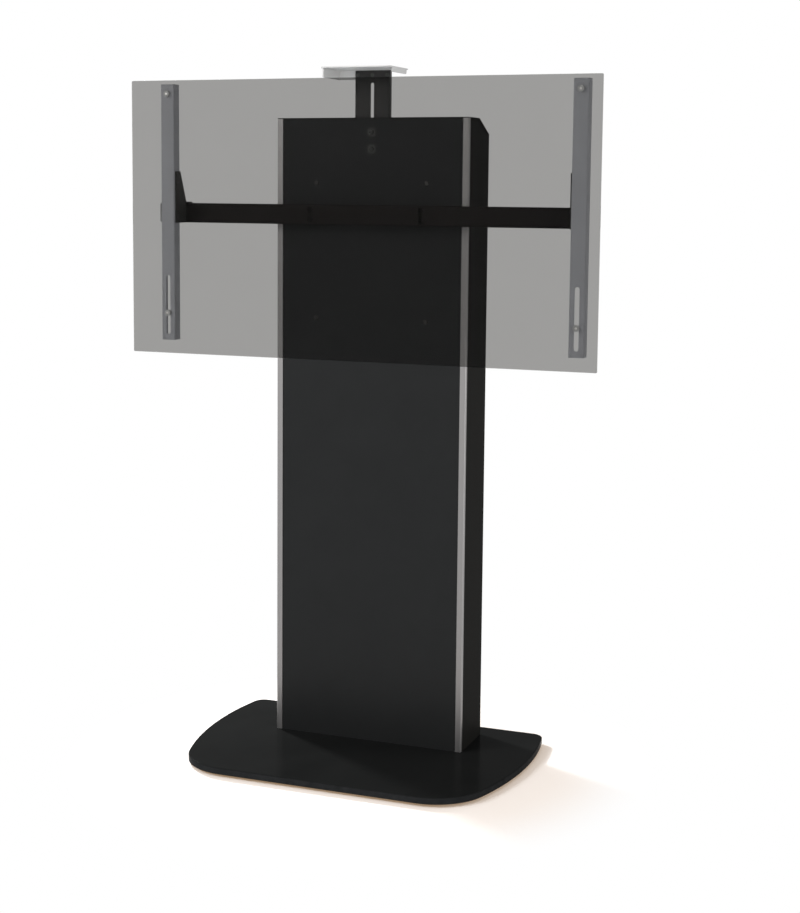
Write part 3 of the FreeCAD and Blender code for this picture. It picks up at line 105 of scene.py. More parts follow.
surroundings = bpy.data.worlds.new("white_surroundings")
surroundings.use_nodes = True
tree = surroundings.node_tree
tree.nodes.clear()
lit = tree.nodes.new("ShaderNodeBackground")
seen = tree.nodes.new("ShaderNodeBackground")
for background, strength in ((lit, 0.55), (seen, 1.0)):
    background.inputs["Color"].default_value = (1.0, 1.0, 1.0, 1.0)
    background.inputs["Strength"].default_value = strength
surface = mixed_shader(tree, seen_rays(tree), lit.outputs[0], seen.outputs[0])
tree.links.new(surface, tree.nodes.new("ShaderNodeOutputWorld").inputs["Surface"])
bpy.context.scene.world = surroundings
bpy.context.scene.view_settings.view_transform = "Standard"

bpy.ops.mesh.primitive_circle_add(vertices=96, radius=9.0, fill_type="NGON", location=(0.0, 0.0, 0.0))
floor = bpy.context.active_object
floor.name = "studio_floor"
paint, tree, shader = new_material("pale_floor")
shader.inputs["Base Color"].default_value = (0.80, 0.82, 0.84, 1.0)
shader.inputs["Roughness"].default_value = 0.9
shader.inputs["Specular IOR Level"].default_value = 0.0
distance = tree.nodes.new("ShaderNodeVectorMath")
distance.operation = "LENGTH"
tree.links.new(tree.nodes.new("ShaderNodeTexCoord").outputs["Object"], distance.inputs[0])
growth = tree.nodes.new("ShaderNodeMapRange")
growth.interpolation_type = "SMOOTHSTEP"
growth.inputs["From Min"].default_value = 0.5
growth.inputs["From Max"].default_value = 0.75
tree.links.new(distance.outputs["Value"], growth.inputs["Value"])
rays = seen_rays(tree)
glow = tree.nodes.new("ShaderNodeEmission")
glow.inputs["Color"].default_value = (0.27, 0.175, 0.095, 1.0)
tree.links.new(rays, glow.inputs["Strength"])
near = tree.nodes.new("ShaderNodeAddShader")
tree.links.new(shader.outputs[0], near.inputs[0])
tree.links.new(glow.outputs[0], near.inputs[1])
far = tree.nodes.new("ShaderNodeEmission")
far_share = math_node(tree, "MULTIPLY", rays, growth.outputs[0])
surface = mixed_shader(tree, far_share, near.outputs[0], far.outputs[0])
tree.links.new(surface, tree.nodes["Material Output"].inputs["Surface"])
floor.data.materials.append(paint)


def aimed_lamp(name, kind, place, aim, power, **shape):
    data = bpy.data.lights.new(name, kind)
    data.energy = power
    for trait, value in shape.items():
        setattr(data, trait, value)
    lamp = bpy.data.objects.new(name, data)
    bpy.context.scene.collection.objects.link(lamp)
    lamp.visible_transmission = False
    turn = (Vector(aim) - Vector(place)).to_track_quat("-Z", "Y")
    lamp.matrix_world = Matrix.Translation(place) @ turn.to_matrix().to_4x4()


aimed_lamp("high_left_lamp", "AREA", place=(-3.0, -3.0, 3.2), aim=(0.0, 0.0, 1.0), power=110.0, shape="DISK",
           size=1.8)
aimed_lamp("low_right_lamp", "AREA", place=(3.4, -1.8, 1.1), aim=(0.1, 0.0, 1.1), power=40.0, shape="DISK",
           size=2.4)
aimed_lamp("rear_lamp", "AREA", place=(-3.2, 1.9, 2.2), aim=(0.0, 0.0, 0.9), power=55.0, shape="DISK",
           size=1.4)
aimed_lamp("edge_lamp", "AREA", place=(-2.1, -3.7, 2.65), aim=(-0.26, 0.0, 1.2), power=26.0, shape="DISK",
           size=0.6)
aimed_lamp("floor_spot", "SPOT", place=(-2.6, 1.5, 2.0), aim=(0.3, -0.2, 0.0), power=520.0,
           spot_size=math.radians(30.0), spot_blend=0.5, shadow_soft_size=0.2)


# Base plate: steel plate cut to bowed sides, powder coated in semi-gloss black. The coat has fine orange
# peel, and a little dust settles on the top. Its upright rim is lightened to a patchy dull grey, a painted
# sheen.
def new_group(name, inputs, outputs):
    group = bpy.data.node_groups.new(name, "ShaderNodeTree")
    for title, kind, value in inputs:
        socket = group.interface.new_socket(name=title, in_out="INPUT", socket_type="NodeSocket" + kind)
        if value is not None:
            socket.default_value = value
    for title, kind in outputs:
        group.interface.new_socket(name=title, in_out="OUTPUT", socket_type="NodeSocket" + kind)
    return group, group.nodes.new("NodeGroupInput").outputs, group.nodes.new("NodeGroupOutput").inputs


def group_node(tree, group, values):
    node = tree.nodes.new("ShaderNodeGroup")
    node.node_tree = group
    for title, value in values.items():
        feed(tree, node.inputs[title], value)
    return node.outputs


def noise_node(tree, place, scale, detail, roughness):
    node = tree.nodes.new("ShaderNodeTexNoise")
    for title, value in (("Vector", place), ("Scale", scale), ("Detail", detail), ("Roughness", roughness)):
        feed(tree, node.inputs[title], value)
    return node.outputs["Fac"]


def shaded_colour(tree, colour, share):
    node = tree.nodes.new("ShaderNodeVectorMath")
    node.operation = "SCALE"
    tree.links.new(colour, node.inputs[0])
    tree.links.new(share, node.inputs["Scale"])
    return node.outputs[0]


powder_coat, given, made = new_group(
    "powder_coat",
    [("Place", "Vector", None), ("Tone", "Color", (0.02, 0.02, 0.02, 1.0)), ("Tone Change", "Float", 0.2),
     ("Peel Size", "Float", 700.0), ("Gloss Middle", "Float", 0.4), ("Gloss Change", "Float", 0.12)],
    [("Color", "Color"), ("Roughness", "Float"), ("Height", "Float")])
tree = powder_coat
clouds = noise_node(tree, given["Place"], scale=7.0, detail=3.0, roughness=0.6)
speckle = noise_node(tree, given["Place"], scale=1500.0, detail=1.0, roughness=0.5)
peel = noise_node(tree, given["Place"], scale=given["Peel Size"], detail=2.0, roughness=0.45)
wide = math_node(tree, "SUBTRACT", clouds, 0.5)
fine = math_node(tree, "SUBTRACT", speckle, 0.5)
swing = math_node(tree, "MULTIPLY_ADD", fine, 0.6, wide)
share = math_node(tree, "MULTIPLY_ADD", swing, given["Tone Change"], 1.0)
gloss = math_node(tree, "MULTIPLY_ADD", wide, given["Gloss Change"], given["Gloss Middle"])
tree.links.new(shaded_colour(tree, given["Tone"], share), made["Color"])
tree.links.new(gloss, made["Roughness"])
tree.links.new(peel, made["Height"])


def facing_up(tree):
    parts = tree.nodes.new("ShaderNodeSeparateXYZ")
    tree.links.new(tree.nodes.new("ShaderNodeNewGeometry").outputs["Normal"], parts.inputs[0])
    return parts.outputs["Z"]


def dust_shares(tree, place):
    level = math_node(tree, "MAXIMUM", facing_up(tree), 0.0)
    grains = noise_node(tree, place, scale=900.0, detail=3.0, roughness=0.7)
    drifts = noise_node(tree, place, scale=5.0, detail=3.0, roughness=0.6)
    return level, grains, drifts


# Painted sheen: upright faces are lightened in noisy patches, as if the rim caught the light.
def rim_sheen_shares(tree, place):
    upright = math_node(tree, "SUBTRACT", 1.0, math_node(tree, "ABSOLUTE", facing_up(tree)))
    sheen_patches = noise_node(tree, place, scale=45.0, detail=5.0, roughness=0.7)
    return upright, sheen_patches


def cover_group(name, cover_tone, find_shares):
    group, given, made = new_group(
        name,
        [("Place", "Vector", None), ("Bare", "Color", (0.02, 0.02, 0.02, 1.0)),
         ("Cover", "Color", cover_tone), ("Amount", "Float", 0.03)],
        [("Color", "Color")])
    amount = given["Amount"]
    for share in find_shares(group, given["Place"]):
        amount = math_node(group, "MULTIPLY", amount, share)
    mix = group.nodes.new("ShaderNodeMix")
    mix.data_type = "RGBA"
    first_colour, second_colour, mixed_colour = mix.inputs[6], mix.inputs[7], mix.outputs[2]
    group.links.new(amount, mix.inputs["Factor"])
    group.links.new(given["Bare"], first_colour)
    group.links.new(given["Cover"], second_colour)
    group.links.new(mixed_colour, made["Color"])
    return group


settled_dust = cover_group("settled_dust", (0.2, 0.19, 0.18, 1.0), dust_shares)
# The rim layer is a painted sheen that lightens the upright faces in patches.
painted_rim_sheen = cover_group("painted_rim_sheen", (0.06, 0.06, 0.062, 1.0), rim_sheen_shares)


def raise_surface(tree, shader, height, strength, depth):
    relief = tree.nodes.new("ShaderNodeBump")
    relief.inputs["Strength"].default_value = strength
    relief.inputs["Distance"].default_value = depth
    tree.links.new(height, relief.inputs["Height"])
    tree.links.new(relief.outputs[0], shader.inputs["Normal"])


def coated(name, tone, tone_change, peel_size, gloss, specular, bump, gloss_change=0.1, dust=0.0, rim_sheen=0.0):
    material, tree, shader = new_material(name)
    place = tree.nodes.new("ShaderNodeTexCoord").outputs["Object"]
    coat = group_node(tree, powder_coat, {
        "Place": place, "Tone": (*tone, 1.0), "Tone Change": tone_change, "Peel Size": peel_size,
        "Gloss Middle": gloss, "Gloss Change": gloss_change})
    colour = coat["Color"]
    for cover, amount in ((settled_dust, dust), (painted_rim_sheen, rim_sheen)):
        if amount:
            colour = group_node(tree, cover, {"Place": place, "Bare": colour, "Amount": amount})["Color"]
    tree.links.new(colour, shader.inputs["Base Color"])
    tree.links.new(coat["Roughness"], shader.inputs["Roughness"])
    raise_surface(tree, shader, coat["Height"], strength=bump, depth=0.0002)
    shader.inputs["Specular IOR Level"].default_value = specular
    return material


def finish(material, *names):
    for name in names:
        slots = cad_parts[name].data.materials
        slots.clear()
        slots.append(material)


# The base's rim carries a painted sheen: its upright faces are lightened to a dull grey in patches.
base_coat = coated("base_semigloss_coat", (0.008, 0.0085, 0.0085), tone_change=0.35, peel_size=520.0,
                   gloss=0.16, gloss_change=0.08, specular=0.0015, bump=0.12, dust=0.05, rim_sheen=0.45)
finish(base_coat, "base_plate")


# Glides: four moulded rubber pads with a ribbed rim and a ringed tread, which keep the base plate clear of
# the floor. Each has a short boss on top that plugs into the plate.
def pick(piece, kind, wanted):
    bpy.ops.object.mode_set(mode="EDIT")
    bpy.context.tool_settings.mesh_select_mode = (False, kind == "edges", kind == "polygons")
    bpy.ops.mesh.select_all(action="DESELECT")
    bpy.ops.object.mode_set(mode="OBJECT")
    for item in getattr(piece.data, kind):
        item.select = wanted(item)
    bpy.ops.object.mode_set(mode="EDIT")


def end_places(piece, edge, axis):
    return [getattr(piece.data.vertices[end].co, axis) for end in edge.vertices]


def lying_at(piece, axis, place):
    touch = 1e-5
    return lambda edge: all(abs(end - place) < touch for end in end_places(piece, edge, axis))


def facing(axis, way):
    nearly_square = 0.99
    return lambda face: getattr(face.normal, axis) * way > nearly_square


def every_second_side(sides):
    nearly_upright = 0.1
    return lambda face: abs(face.normal.z) < nearly_upright and round(
        math.atan2(face.normal.y, face.normal.x) / math.tau * sides + 0.5) % 2 == 0


def round_off(piece, wanted, offset, segments):
    pick(piece, "edges", wanted)
    bpy.ops.mesh.bevel(offset=offset, segments=segments, affect="EDGES")


def extrude(x, y, z):
    bpy.ops.mesh.extrude_region_move(TRANSFORM_OT_translate={"value": (x, y, z)})


def turned_blank(name, sides, radius, low_z, high_z):
    bpy.ops.mesh.primitive_cylinder_add(vertices=sides, radius=radius, depth=high_z - low_z,
                                        end_fill_type="NGON", location=(0.0, 0.0, (low_z + high_z) / 2.0))
    bpy.ops.object.transform_apply(location=True)
    piece = bpy.context.active_object
    piece.name = name
    return piece


def fix_place(piece, material, slot_name, body, *nodes):
    bpy.ops.object.mode_set(mode="OBJECT")
    bpy.ops.object.select_all(action="DESELECT")
    piece.select_set(True)
    bpy.context.view_layer.objects.active = piece
    bpy.ops.object.transform_apply(location=True, rotation=True, scale=True)
    bpy.ops.object.shade_smooth_by_angle(angle=math.radians(32.0))
    level = piece.modifiers.new("level_faces", "WEIGHTED_NORMAL")
    level.keep_sharp = True
    bpy.ops.object.modifier_apply(modifier="level_faces")
    piece.data.materials.clear()
    piece.data.materials.append(material)
    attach(piece, body)
    if nodes:
        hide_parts(*nodes)
    bpy.ops.object.select_all(action="DESELECT")


def set_like_pieces(first, name, spots, turn, material, slot_name, body, node):
    bpy.ops.object.mode_set(mode="OBJECT")
    pieces = [first]
    for number in range(2, len(spots) + 1):
        twin = first.copy()
        twin.data = first.data.copy()
        twin.name = "%s_%d" % (name, number)
        twin.data.name = twin.name
        bpy.context.scene.collection.objects.link(twin)
        pieces.append(twin)
    first.name = name + "_1"
    for piece, spot in zip(pieces, spots):
        piece.rotation_euler = turn
        piece.location = spot
        fix_place(piece, material, slot_name, body, node)


rubber = coated("glide_rubber_black", (0.02, 0.02, 0.02), tone_change=0.4, peel_size=1100.0, gloss=0.75,
                specular=0.3, bump=0.3)
glide_radius, glide_height, glide_sides, foot_round = 0.022, 0.008, 72, 0.0016
rib_gap_inset, rib_depth = 0.0003, 0.0006
tread_rings, tread_land, tread_groove, groove_depth, groove_wall = 4, 0.0018, 0.0014, 0.0009, 0.0004
boss_radius, boss_round = 0.006, 0.0012
low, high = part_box("glides")
front_reach, rear_reach = 0.3, high.x - glide_radius
front_y, rear_y = low.y + glide_radius, high.y - glide_radius
glide = turned_blank("glide_pad", glide_sides, glide_radius, low_z=0.0, high_z=glide_height)
round_off(glide, lying_at(glide, "z", 0.0), foot_round, segments=3)
pick(glide, "polygons", every_second_side(glide_sides))
bpy.ops.mesh.inset(thickness=rib_gap_inset, depth=-rib_depth, use_individual=True)
pick(glide, "polygons", facing("z", -1.0))
for ring in range(tread_rings):
    bpy.ops.mesh.inset(thickness=tread_land)
    bpy.ops.mesh.inset(thickness=groove_wall, depth=-groove_depth)
    bpy.ops.mesh.inset(thickness=tread_groove)
    bpy.ops.mesh.inset(thickness=groove_wall, depth=groove_depth)
pick(glide, "polygons", facing("z", 1.0))
bpy.ops.mesh.inset(thickness=glide_radius - boss_radius)
extrude(0.0, 0.0, high.z - glide_height)
round_off(glide, lying_at(glide, "z", high.z), boss_round, segments=2)
set_like_pieces(glide, "glide_pad",
                [(x, y, 0.0) for reach, y in ((front_reach, front_y), (rear_reach, rear_y))
                 for x in (-reach, reach)],
                (0.0, 0.0, 0.0), rubber, "glide_rubber", "stand", "glides")


# Base bolts: zinc-plated steel screws with round heads, sunk into the plate from below and turned up into
# the foot plate. Fine turning marks show on every plated piece of the stand.
drawn_streaks, given, made = new_group(
    "drawn_streaks",
    [("Stretched Place", "Vector", None), ("Tone", "Color", (0.6, 0.6, 0.6, 1.0)), ("Streak", "Float", 0.15),
     ("Gloss Middle", "Float", 0.35), ("Gloss Change", "Float", 0.12)],
    [("Color", "Color"), ("Roughness", "Float"), ("Height", "Float")])
tree = drawn_streaks
lines = noise_node(tree, given["Stretched Place"], scale=1400.0, detail=4.0, roughness=0.65)
swing = math_node(tree, "SUBTRACT", lines, 0.5)
share = math_node(tree, "MULTIPLY_ADD", swing, given["Streak"], 1.0)
gloss = math_node(tree, "MULTIPLY_ADD", swing, given["Gloss Change"], given["Gloss Middle"])
tree.links.new(shaded_colour(tree, given["Tone"], share), made["Color"])
tree.links.new(gloss, made["Roughness"])
tree.links.new(lines, made["Height"])


def streaked_metal(name, tone, streak, gloss, stretch):
    material, tree, shader = new_material(name)
    mapping = tree.nodes.new("ShaderNodeMapping")
    mapping.inputs["Scale"].default_value = stretch
    tree.links.new(tree.nodes.new("ShaderNodeTexCoord").outputs["Object"], mapping.inputs["Vector"])
    drawn = group_node(tree, drawn_streaks, {
        "Stretched Place": mapping.outputs[0], "Tone": (*tone, 1.0), "Streak": streak, "Gloss Middle": gloss,
        "Gloss Change": 0.2})
    tree.links.new(drawn["Color"], shader.inputs["Base Color"])
    tree.links.new(drawn["Roughness"], shader.inputs["Roughness"])
    raise_surface(tree, shader, drawn["Height"], strength=0.2, depth=0.0001)
    shader.inputs["Metallic"].default_value = 1.0
    return material


zinc = streaked_metal("zinc_plated_steel", (0.5, 0.49, 0.47), streak=0.3, gloss=0.35, stretch=(1.0, 1.0, 0.2))
finish(zinc, "base_bolts")


# Inner frame: two rectangular steel tubes stand on the foot plate, with two flat rails across their backs.
# The upper rail backs the clamp block. Tubes, plate and rails are fillet welded in short overlapping
# ripples, and all is painted dark grey.
frame_paint = coated("inner_frame_paint", (0.05, 0.05, 0.05), tone_change=0.3, peel_size=500.0, gloss=0.5,
                     gloss_change=0.15, specular=0.3, bump=0.3, dust=0.1)
finish(frame_paint, "foot_plate", "left_upright", "right_upright", "clamp_rail", "clamp_block", "lower_rail")
bead_radius, ripple_pitch, ripple_squeeze, seam_inset = 0.0024, 0.0016, 0.6, 0.004


def weld_bead(name, start, end):
    run = Vector(end) - Vector(start)
    bpy.ops.mesh.primitive_uv_sphere_add(segments=8, ring_count=4, radius=bead_radius, location=start)
    bead = bpy.context.active_object
    bead.name = name
    bpy.ops.object.transform_apply(location=True)
    bpy.ops.object.mode_set(mode="EDIT")
    bpy.ops.mesh.select_all(action="SELECT")
    squeezed = [ripple_squeeze if part else 1.0 for part in run]
    bpy.ops.transform.resize(value=squeezed, center_override=start)
    bpy.ops.object.mode_set(mode="OBJECT")
    ripples = bead.modifiers.new("ripples", "ARRAY")
    ripples.count = int(run.length / ripple_pitch) + 1
    ripples.use_relative_offset = False
    ripples.use_constant_offset = True
    ripples.constant_offset_displace = run / (ripples.count - 1)
    bpy.ops.object.modifier_apply(modifier="ripples")
    fix_place(bead, frame_paint, "frame_finish", "stand")


for side in ("left", "right"):
    low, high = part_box(side + "_upright")
    back_seams = [("foot_weld_back", low.z)]
    for rail in ("clamp_rail", "lower_rail"):
        rail_low, rail_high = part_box(rail)
        back_seams += [(rail + "_weld_under", rail_low.z), (rail + "_weld_over", rail_high.z)]
    for seam, z in back_seams:
        weld_bead("%s_%s" % (side, seam), (low.x + seam_inset, high.y, z), (high.x - seam_inset, high.y, z))
    for wall, x in (("near", low.x), ("far", high.x)):
        weld_bead("%s_foot_weld_%s" % (side, wall), (x, low.y + seam_inset, low.z),
                  (x, high.y - seam_inset, low.z))


# Edge profiles: extruded aluminium strips on both front corners of the column, satin anodised, with fine
# streaks along their whole height. A groove in each takes one edge of the front panel.
anodised = streaked_metal("satin_anodised_aluminium", (0.27, 0.262, 0.26), streak=0.25, gloss=0.42,
                          stretch=(1.0, 1.0, 0.006))
finish(anodised, "left_edge_profile", "right_edge_profile")


# Front panel: one steel sheet in satin black lacquer, slid behind the lips of the edge profiles and held
# against the uprights by four screws.
panel_coat = coated("front_panel_lacquer", (0.0145, 0.0150, 0.0152), tone_change=0.25, peel_size=800.0,
                    gloss=0.36, specular=0.10, bump=0.12)
finish(panel_coat, "front_panel")


# Panel screws: four black button-head screws with hexagon sockets, two into each upright. Each is turned
# from bar, its head domed, its socket pressed in and its stem left plain.
black_zinc = streaked_metal("black_zinc_steel", (0.05, 0.05, 0.047), streak=0.3, gloss=0.4,
                            stretch=(1.0, 1.0, 0.2))


def cut_away(piece, tool):
    cut = piece.modifiers.new("cut", "BOOLEAN")
    cut.operation = "DIFFERENCE"
    cut.solver = "EXACT"
    cut.object = tool
    bpy.context.view_layer.objects.active = piece
    bpy.ops.object.modifier_apply(modifier="cut")
    bpy.data.objects.remove(tool)


def socket_screw(head_radius, head_height, dome, stem_radius, stem_length, socket_radius):
    screw = turned_blank("socket_screw", sides=36, radius=head_radius, low_z=0.0, high_z=head_height)
    round_off(screw, lying_at(screw, "z", head_height), dome, segments=5)
    pick(screw, "polygons", facing("z", -1.0))
    bpy.ops.mesh.inset(thickness=head_radius - stem_radius)
    extrude(0.0, 0.0, -stem_length)
    end_chamfer = stem_radius * 0.2
    bpy.ops.mesh.inset(thickness=end_chamfer, depth=end_chamfer)
    bpy.ops.object.mode_set(mode="OBJECT")
    key = turned_blank("socket_key", sides=6, radius=socket_radius, low_z=0.4 * head_height,
                       high_z=1.6 * head_height)
    cut_away(screw, key)
    return screw


def inner_ends(low_end, high_end, inset):
    return low_end + inset, high_end - inset


def grid(across, y, heights):
    return [(x, y, z) for x in across for z in heights]


facing_front = (math.pi / 2.0, 0.0, 0.0)
head_radius, head_height = 0.0065, 0.0032
low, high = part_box("panel_screws")
set_like_pieces(socket_screw(head_radius, head_height, dome=0.0026, stem_radius=0.003, stem_length=0.0085,
                             socket_radius=0.002),
                "panel_screw",
                grid(inner_ends(low.x, high.x, head_radius), low.y + head_height,
                     inner_ends(low.z, high.z, head_radius)),
                facing_front, black_zinc, "fastener_steel", "stand", "panel_screws")


# Column sheets: side walls, top cap, rear sill and rear door, each folded from thin steel, and the rib that
# stiffens the door. All are powder coated in satin black.
column_coat = coated("column_satin_coat", (0.0150, 0.0145, 0.0135), tone_change=0.25, peel_size=800.0,
                     gloss=0.5, specular=0.003, bump=0.2)
finish(column_coat, "left_side_wall", "right_side_wall", "top_cap", "rear_sill", "rear_door", "door_rib")


# Hinges: two pairs of folded steel leaves in satin black paint, one leaf of each pair on the side wall and
# one on the door. Their knuckles turn on plated pins with flat heads.
hinge_paint = coated("hinge_black_paint", (0.03, 0.03, 0.03), tone_change=0.3, peel_size=900.0, gloss=0.4,
                     specular=0.3, bump=0.2)
finish(hinge_paint, "frame_hinge_leaves", "door_hinge_leaves")
finish(zinc, "hinge_pins")


# Lock: a plated cylinder lock in the door, its bezel turned with a rounded rim and a groove round the plug,
# and its cam on the end of the plug behind the door.
finish(zinc, "lock_cam")
bezel_sides, bezel_radius, bezel_height, bezel_round = 64, 0.011, 0.0025, 0.0012
rim_land, groove_wall, groove_width, groove_depth = 0.0012, 0.0002, 0.0006, 0.0004
barrel_radius, plug_bore = 0.008, 0.00505
facing_back = (-math.pi / 2.0, 0.0, 0.0)
low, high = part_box("lock_body")
barrel_depth = high.y - low.y - bezel_height
bezel = turned_blank("lock_bezel", bezel_sides, bezel_radius, low_z=0.0, high_z=bezel_height)
round_off(bezel, lying_at(bezel, "z", bezel_height), bezel_round, segments=4)
pick(bezel, "polygons", facing("z", 1.0))
bpy.ops.mesh.inset(thickness=rim_land)
bpy.ops.mesh.inset(thickness=groove_wall, depth=-groove_depth)
bpy.ops.mesh.inset(thickness=groove_width)
bpy.ops.mesh.inset(thickness=groove_wall, depth=groove_depth)
pick(bezel, "polygons", facing("z", -1.0))
bpy.ops.mesh.inset(thickness=bezel_radius - barrel_radius)
extrude(0.0, 0.0, -barrel_depth)
bpy.ops.object.mode_set(mode="OBJECT")
drill = turned_blank("plug_drill", bezel_sides, plug_bore, low_z=-2.0 * barrel_depth,
                     high_z=2.0 * barrel_depth)
cut_away(bezel, drill)
bezel.rotation_euler = facing_back
bezel.location = ((low.x + high.x) / 2.0, high.y - bezel_height, (low.z + high.z) / 2.0)
fix_place(bezel, zinc, "fastener_steel", "door", "lock_body")


# Crossbar: rectangular steel tube in satin black powder coat, held off the panel by two spacers. Four
# plated socket screws go through its rear wall, put in through the access holes of its front wall.
bar_coat = coated("crossbar_satin_coat", (0.0125, 0.0105, 0.0098), tone_change=0.3, peel_size=800.0,
                  gloss=0.45, specular=0.03, bump=0.2)
finish(bar_coat, "crossbar", "left_bar_spacer", "right_bar_spacer")
head_radius, head_height = 0.0065, 0.008
low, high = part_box("crossbar_bolts")
set_like_pieces(socket_screw(head_radius, head_height, dome=0.0006, stem_radius=0.004, stem_length=0.0235,
                             socket_radius=0.003),
                "crossbar_bolt",
                grid(inner_ends(low.x, high.x, head_radius), low.y + head_height,
                     inner_ends(low.z, high.z, head_radius)),
                facing_front, black_zinc, "fastener_steel", "stand", "crossbar_bolts")


# Bar caps: grey moulded plugs pushed into the ends of the crossbar, each with a shallow panel sunk into its
# rounded face and a chamfer on the end of its plug.
def running_along(piece, axis):
    least_run = 1e-4
    return lambda edge: abs(end_places(piece, edge, axis)[0] - end_places(piece, edge, axis)[1]) > least_run


cap_plastic = coated("moulded_grey_plastic", (0.30, 0.30, 0.30), tone_change=0.1, peel_size=1400.0,
                     gloss=0.55, specular=0.3, bump=0.25)
face_thickness, corner_round, rim_round, plug_length = 0.004, 0.004, 0.001, 0.02
panel_inset, plug_inset = corner_round * 0.45, corner_round * 0.85
step_width, step_depth = 0.0004, 0.0008
for side, outward in (("left", -1.0), ("right", 1.0)):
    low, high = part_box(side + "_bar_cap")
    outer_x = low.x if outward < 0.0 else high.x
    middle = (outer_x - outward * face_thickness / 2.0, (low.y + high.y) / 2.0, (low.z + high.z) / 2.0)
    bpy.ops.mesh.primitive_cube_add(size=1.0, location=middle,
                                    scale=(face_thickness, high.y - low.y, high.z - low.z))
    cap = bpy.context.active_object
    cap.name = side + "_end_cap"
    bpy.ops.object.transform_apply(location=True, rotation=True, scale=True)
    round_off(cap, running_along(cap, "x"), corner_round, segments=6)
    round_off(cap, lying_at(cap, "x", outer_x), rim_round, segments=3)
    pick(cap, "polygons", facing("x", outward))
    bpy.ops.mesh.inset(thickness=panel_inset)
    bpy.ops.mesh.inset(thickness=step_width, depth=-step_depth)
    pick(cap, "polygons", facing("x", -outward))
    bpy.ops.mesh.inset(thickness=plug_inset)
    extrude(-outward * plug_length, 0.0, 0.0)
    bpy.ops.mesh.inset(thickness=step_width, depth=step_depth)
    fix_place(cap, cap_plastic, "black_plastic", "stand", side + "_bar_cap")


# Arms: two channels folded from steel sheet in light grey powder coat. Each has a long slot at its foot and
# a hole near its head, where the screws of the screen go.
arm_coat = coated("arm_grey_coat", (0.35, 0.355, 0.375), tone_change=0.12, peel_size=900.0, gloss=0.5,
                  specular=0.25, bump=0.25)
finish(arm_coat, "left_arm", "right_arm")


# Hooks: folded steel brackets in dark powder coat, each with a strap over the crossbar and a lip behind
# it, held to its arm by two dark rivets with domed heads.
hook_coat = coated("hook_satin_coat", (0.03, 0.029, 0.027), tone_change=0.3, peel_size=800.0, gloss=0.5,
                   specular=0.1, bump=0.2)
finish(hook_coat, "left_hook", "right_hook")
head_radius, head_height, shank_radius, grip_length = 0.0055, 0.002, 0.003, 0.0055
head_spread, head_dome = head_radius / shank_radius, head_height * 0.85
shank_end = grip_length / 2.0
rivet_end = shank_end + head_height
low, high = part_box("hook_rivets")
rivet = turned_blank("hook_rivet", sides=32, radius=head_radius, low_z=shank_end, high_z=rivet_end)
pick(rivet, "polygons", facing("z", -1.0))
bpy.ops.mesh.inset(thickness=head_radius - shank_radius)
extrude(0.0, 0.0, -grip_length)
extrude(0.0, 0.0, 0.0)
bpy.ops.transform.resize(value=(head_spread, head_spread, 1.0))
extrude(0.0, 0.0, -head_height)
for end_z in (rivet_end, -rivet_end):
    round_off(rivet, lying_at(rivet, "z", end_z), head_dome, segments=5)
set_like_pieces(rivet, "hook_rivet",
                grid(inner_ends(low.x, high.x, rivet_end), (low.y + high.y) / 2.0,
                     inner_ends(low.z, high.z, head_radius)),
                (0.0, math.pi / 2.0, 0.0), black_zinc, "fastener_steel", "screen", "hook_rivets")


# Lock knobs: two moulded knobs with grooved grips, each on a stem through the rear lip of a hook, which
# clamps the arm to the crossbar.
plastic = coated("moulded_black_plastic", (0.03, 0.03, 0.03), tone_change=0.3, peel_size=1400.0, gloss=0.6,
                 specular=0.35, bump=0.25)
knob_sides, knob_radius, knob_height, stem_radius = 48, 0.009, 0.010, 0.003
top_round, foot_round = 0.0015, 0.0006
grip_inset, grip_depth = 0.0002, 0.0006
dish_rim, dish_slope, dish_depth = 0.0018, 0.0012, 0.0011
low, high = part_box("lock_screws")
stem_length = high.y - low.y - knob_height
knob = turned_blank("lock_knob", knob_sides, knob_radius, low_z=0.0, high_z=knob_height)
round_off(knob, lying_at(knob, "z", knob_height), top_round, segments=4)
round_off(knob, lying_at(knob, "z", 0.0), foot_round, segments=2)
pick(knob, "polygons", every_second_side(knob_sides))
bpy.ops.mesh.inset(thickness=grip_inset, depth=-grip_depth, use_individual=True)
pick(knob, "polygons", facing("z", 1.0))
bpy.ops.mesh.inset(thickness=dish_rim)
bpy.ops.mesh.inset(thickness=dish_slope, depth=-dish_depth)
pick(knob, "polygons", facing("z", -1.0))
bpy.ops.mesh.inset(thickness=knob_radius - foot_round - stem_radius)
extrude(0.0, 0.0, -stem_length)
set_like_pieces(knob, "lock_knob",
                grid(inner_ends(low.x, high.x, knob_radius), high.y - knob_height,
                     [(low.z + high.z) / 2.0]),
                facing_back, plastic, "black_plastic", "screen", "lock_screws")


# Screen spacers: four turned nylon rings with broken edges between the arms and the see-through panel,
# each on a plated screw put in from behind.
nylon = coated("natural_nylon", (0.42, 0.42, 0.41), tone_change=0.08, peel_size=1400.0, gloss=0.55,
               specular=0.3, bump=0.2)
ring_radius, ring_bore, edge_break = 0.008, 0.0033, 0.0006
low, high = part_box("screen_spacers")
half_length = (high.y - low.y) / 2.0
arm_middles = [(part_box(arm)[0].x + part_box(arm)[1].x) / 2.0 for arm in ("left_arm", "right_arm")]
ring = turned_blank("screen_spacer", sides=48, radius=ring_radius, low_z=-half_length,
                    high_z=half_length)
for end_z in (-half_length, half_length):
    round_off(ring, lying_at(ring, "z", end_z), edge_break, segments=2)
pick(ring, "polygons", lambda face: facing("z", 1.0)(face) or facing("z", -1.0)(face))
bpy.ops.mesh.inset(thickness=ring_radius - edge_break - ring_bore)
bpy.ops.mesh.bridge_edge_loops()
set_like_pieces(ring, "screen_spacer",
                grid(arm_middles, (low.y + high.y) / 2.0, inner_ends(low.z, high.z, ring_radius)),
                facing_front, nylon, "spacer_nylon", "screen", "screen_spacers")
head_radius, head_height = 0.007, 0.004
low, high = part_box("screen_screws")
